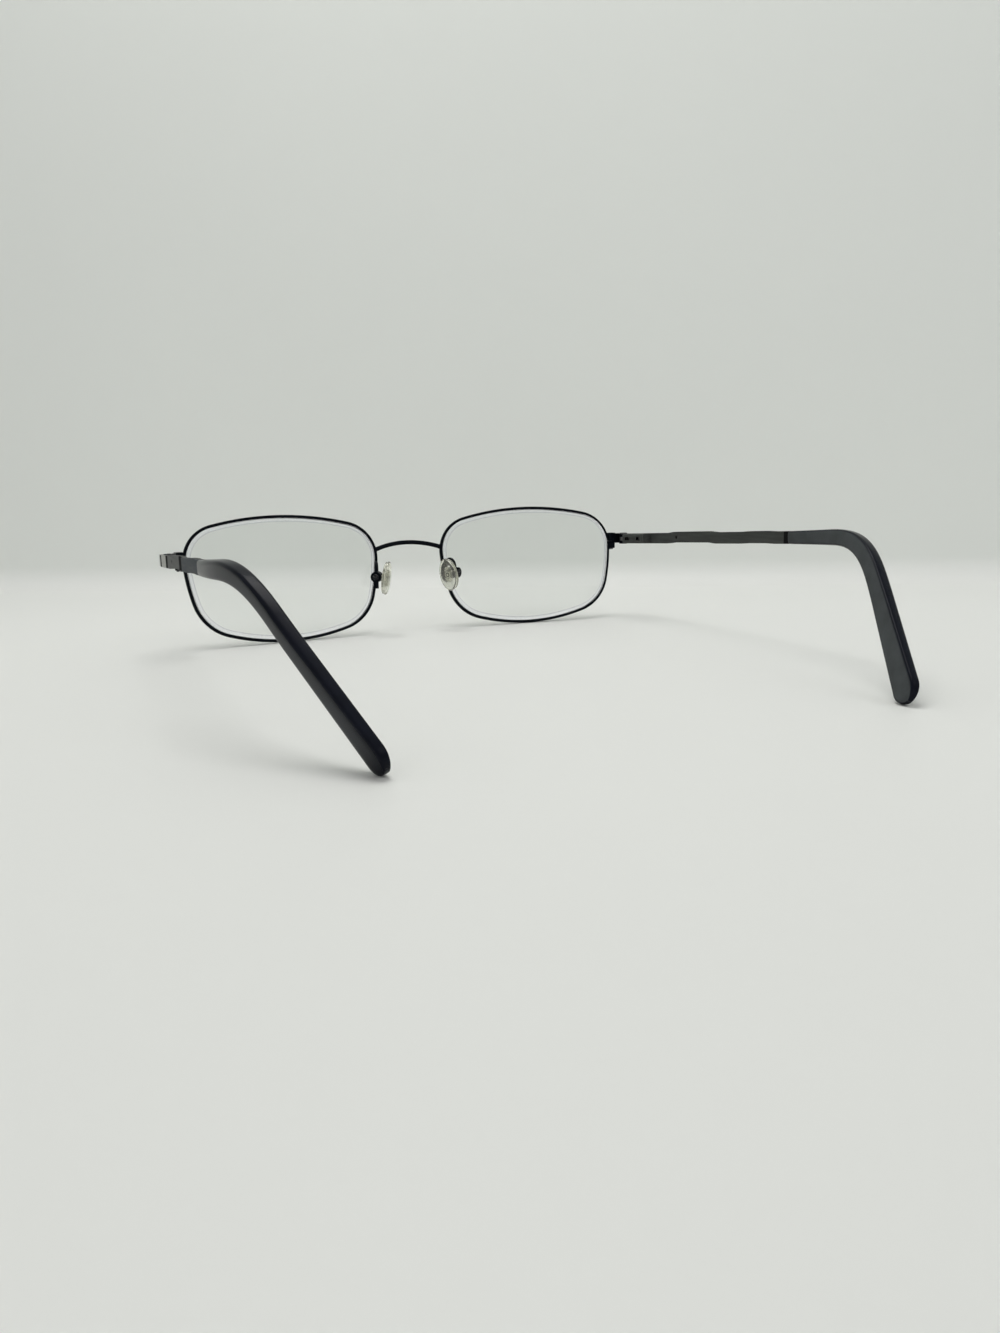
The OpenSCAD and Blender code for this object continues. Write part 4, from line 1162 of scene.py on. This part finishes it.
class EYEGLASS_OT_pads(bpy.types.Operator):
    """Mould the two clear nose pads and rivet their studs"""
    bl_idname = "eyeglass.pads"
    bl_label = "Nose pads"

    def execute(self, context):
        build_pads()
        build_studs()
        return {"FINISHED"}


class EYEGLASS_OT_metalwork(bpy.types.Operator):
    """Break the edges of bars, housings, blocks, pad boxes and screws"""
    bl_idname = "eyeglass.metalwork"
    bl_label = "Metalwork"

    def execute(self, context):
        build_metalwork()
        return {"FINISHED"}


class EYEGLASS_OT_finishes(bpy.types.Operator):
    """Give the solids that stay their finishes"""
    bl_idname = "eyeglass.finishes"
    bl_label = "Finishes"

    def execute(self, context):
        dress_solids()
        return {"FINISHED"}


STEPS = (EYEGLASS_OT_stage, EYEGLASS_OT_rims, EYEGLASS_OT_lenses, EYEGLASS_OT_bridge, EYEGLASS_OT_tips,
         EYEGLASS_OT_pads, EYEGLASS_OT_metalwork, EYEGLASS_OT_finishes)
GROUPS = (("eyeglass_lens", LensSizes), ("eyeglass_hinge", HingeSizes), ("eyeglass_temple", TempleSizes),
          ("eyeglass_pad", PadSizes), ("eyeglass_colours", FinishColours))


class EYEGLASS_PT_panel(bpy.types.Panel):
    """Lists the steps that dress the frame, and its sizes and colours"""
    bl_idname = "EYEGLASS_PT_panel"
    bl_label = "Eyeglass frame"
    bl_space_type = "VIEW_3D"
    bl_region_type = "UI"
    bl_category = "Eyeglasses"

    def draw(self, context):
        for step in STEPS:
            self.layout.operator(step.bl_idname)
        for group, _ in GROUPS:
            box = self.layout.box()
            sizes = getattr(context.scene, group)
            for key in sizes.__annotations__:
                box.prop(sizes, key)


def register():
    """Adds the sizes and colours to the scene, and the steps and the panel to the program."""
    for name, group in GROUPS:
        bpy.utils.register_class(group)
        setattr(bpy.types.Scene, name, PointerProperty(type=group))
    for step in STEPS:
        bpy.utils.register_class(step)
    bpy.utils.register_class(EYEGLASS_PT_panel)


def unregister():
    """Takes away what register adds, in the reverse order."""
    bpy.utils.unregister_class(EYEGLASS_PT_panel)
    for step in reversed(STEPS):
        bpy.utils.unregister_class(step)
    for name, group in reversed(GROUPS):
        delattr(bpy.types.Scene, name)
        bpy.utils.unregister_class(group)


def main():
    """Runs the steps in order."""
    register()
    bpy.ops.eyeglass.stage()
    bpy.ops.eyeglass.rims()
    bpy.ops.eyeglass.lenses()
    bpy.ops.eyeglass.bridge()
    bpy.ops.eyeglass.tips()
    bpy.ops.eyeglass.pads()
    bpy.ops.eyeglass.metalwork()
    bpy.ops.eyeglass.finishes()
    bpy.context.view_layer.update()


if __name__ == "__main__":
    main()
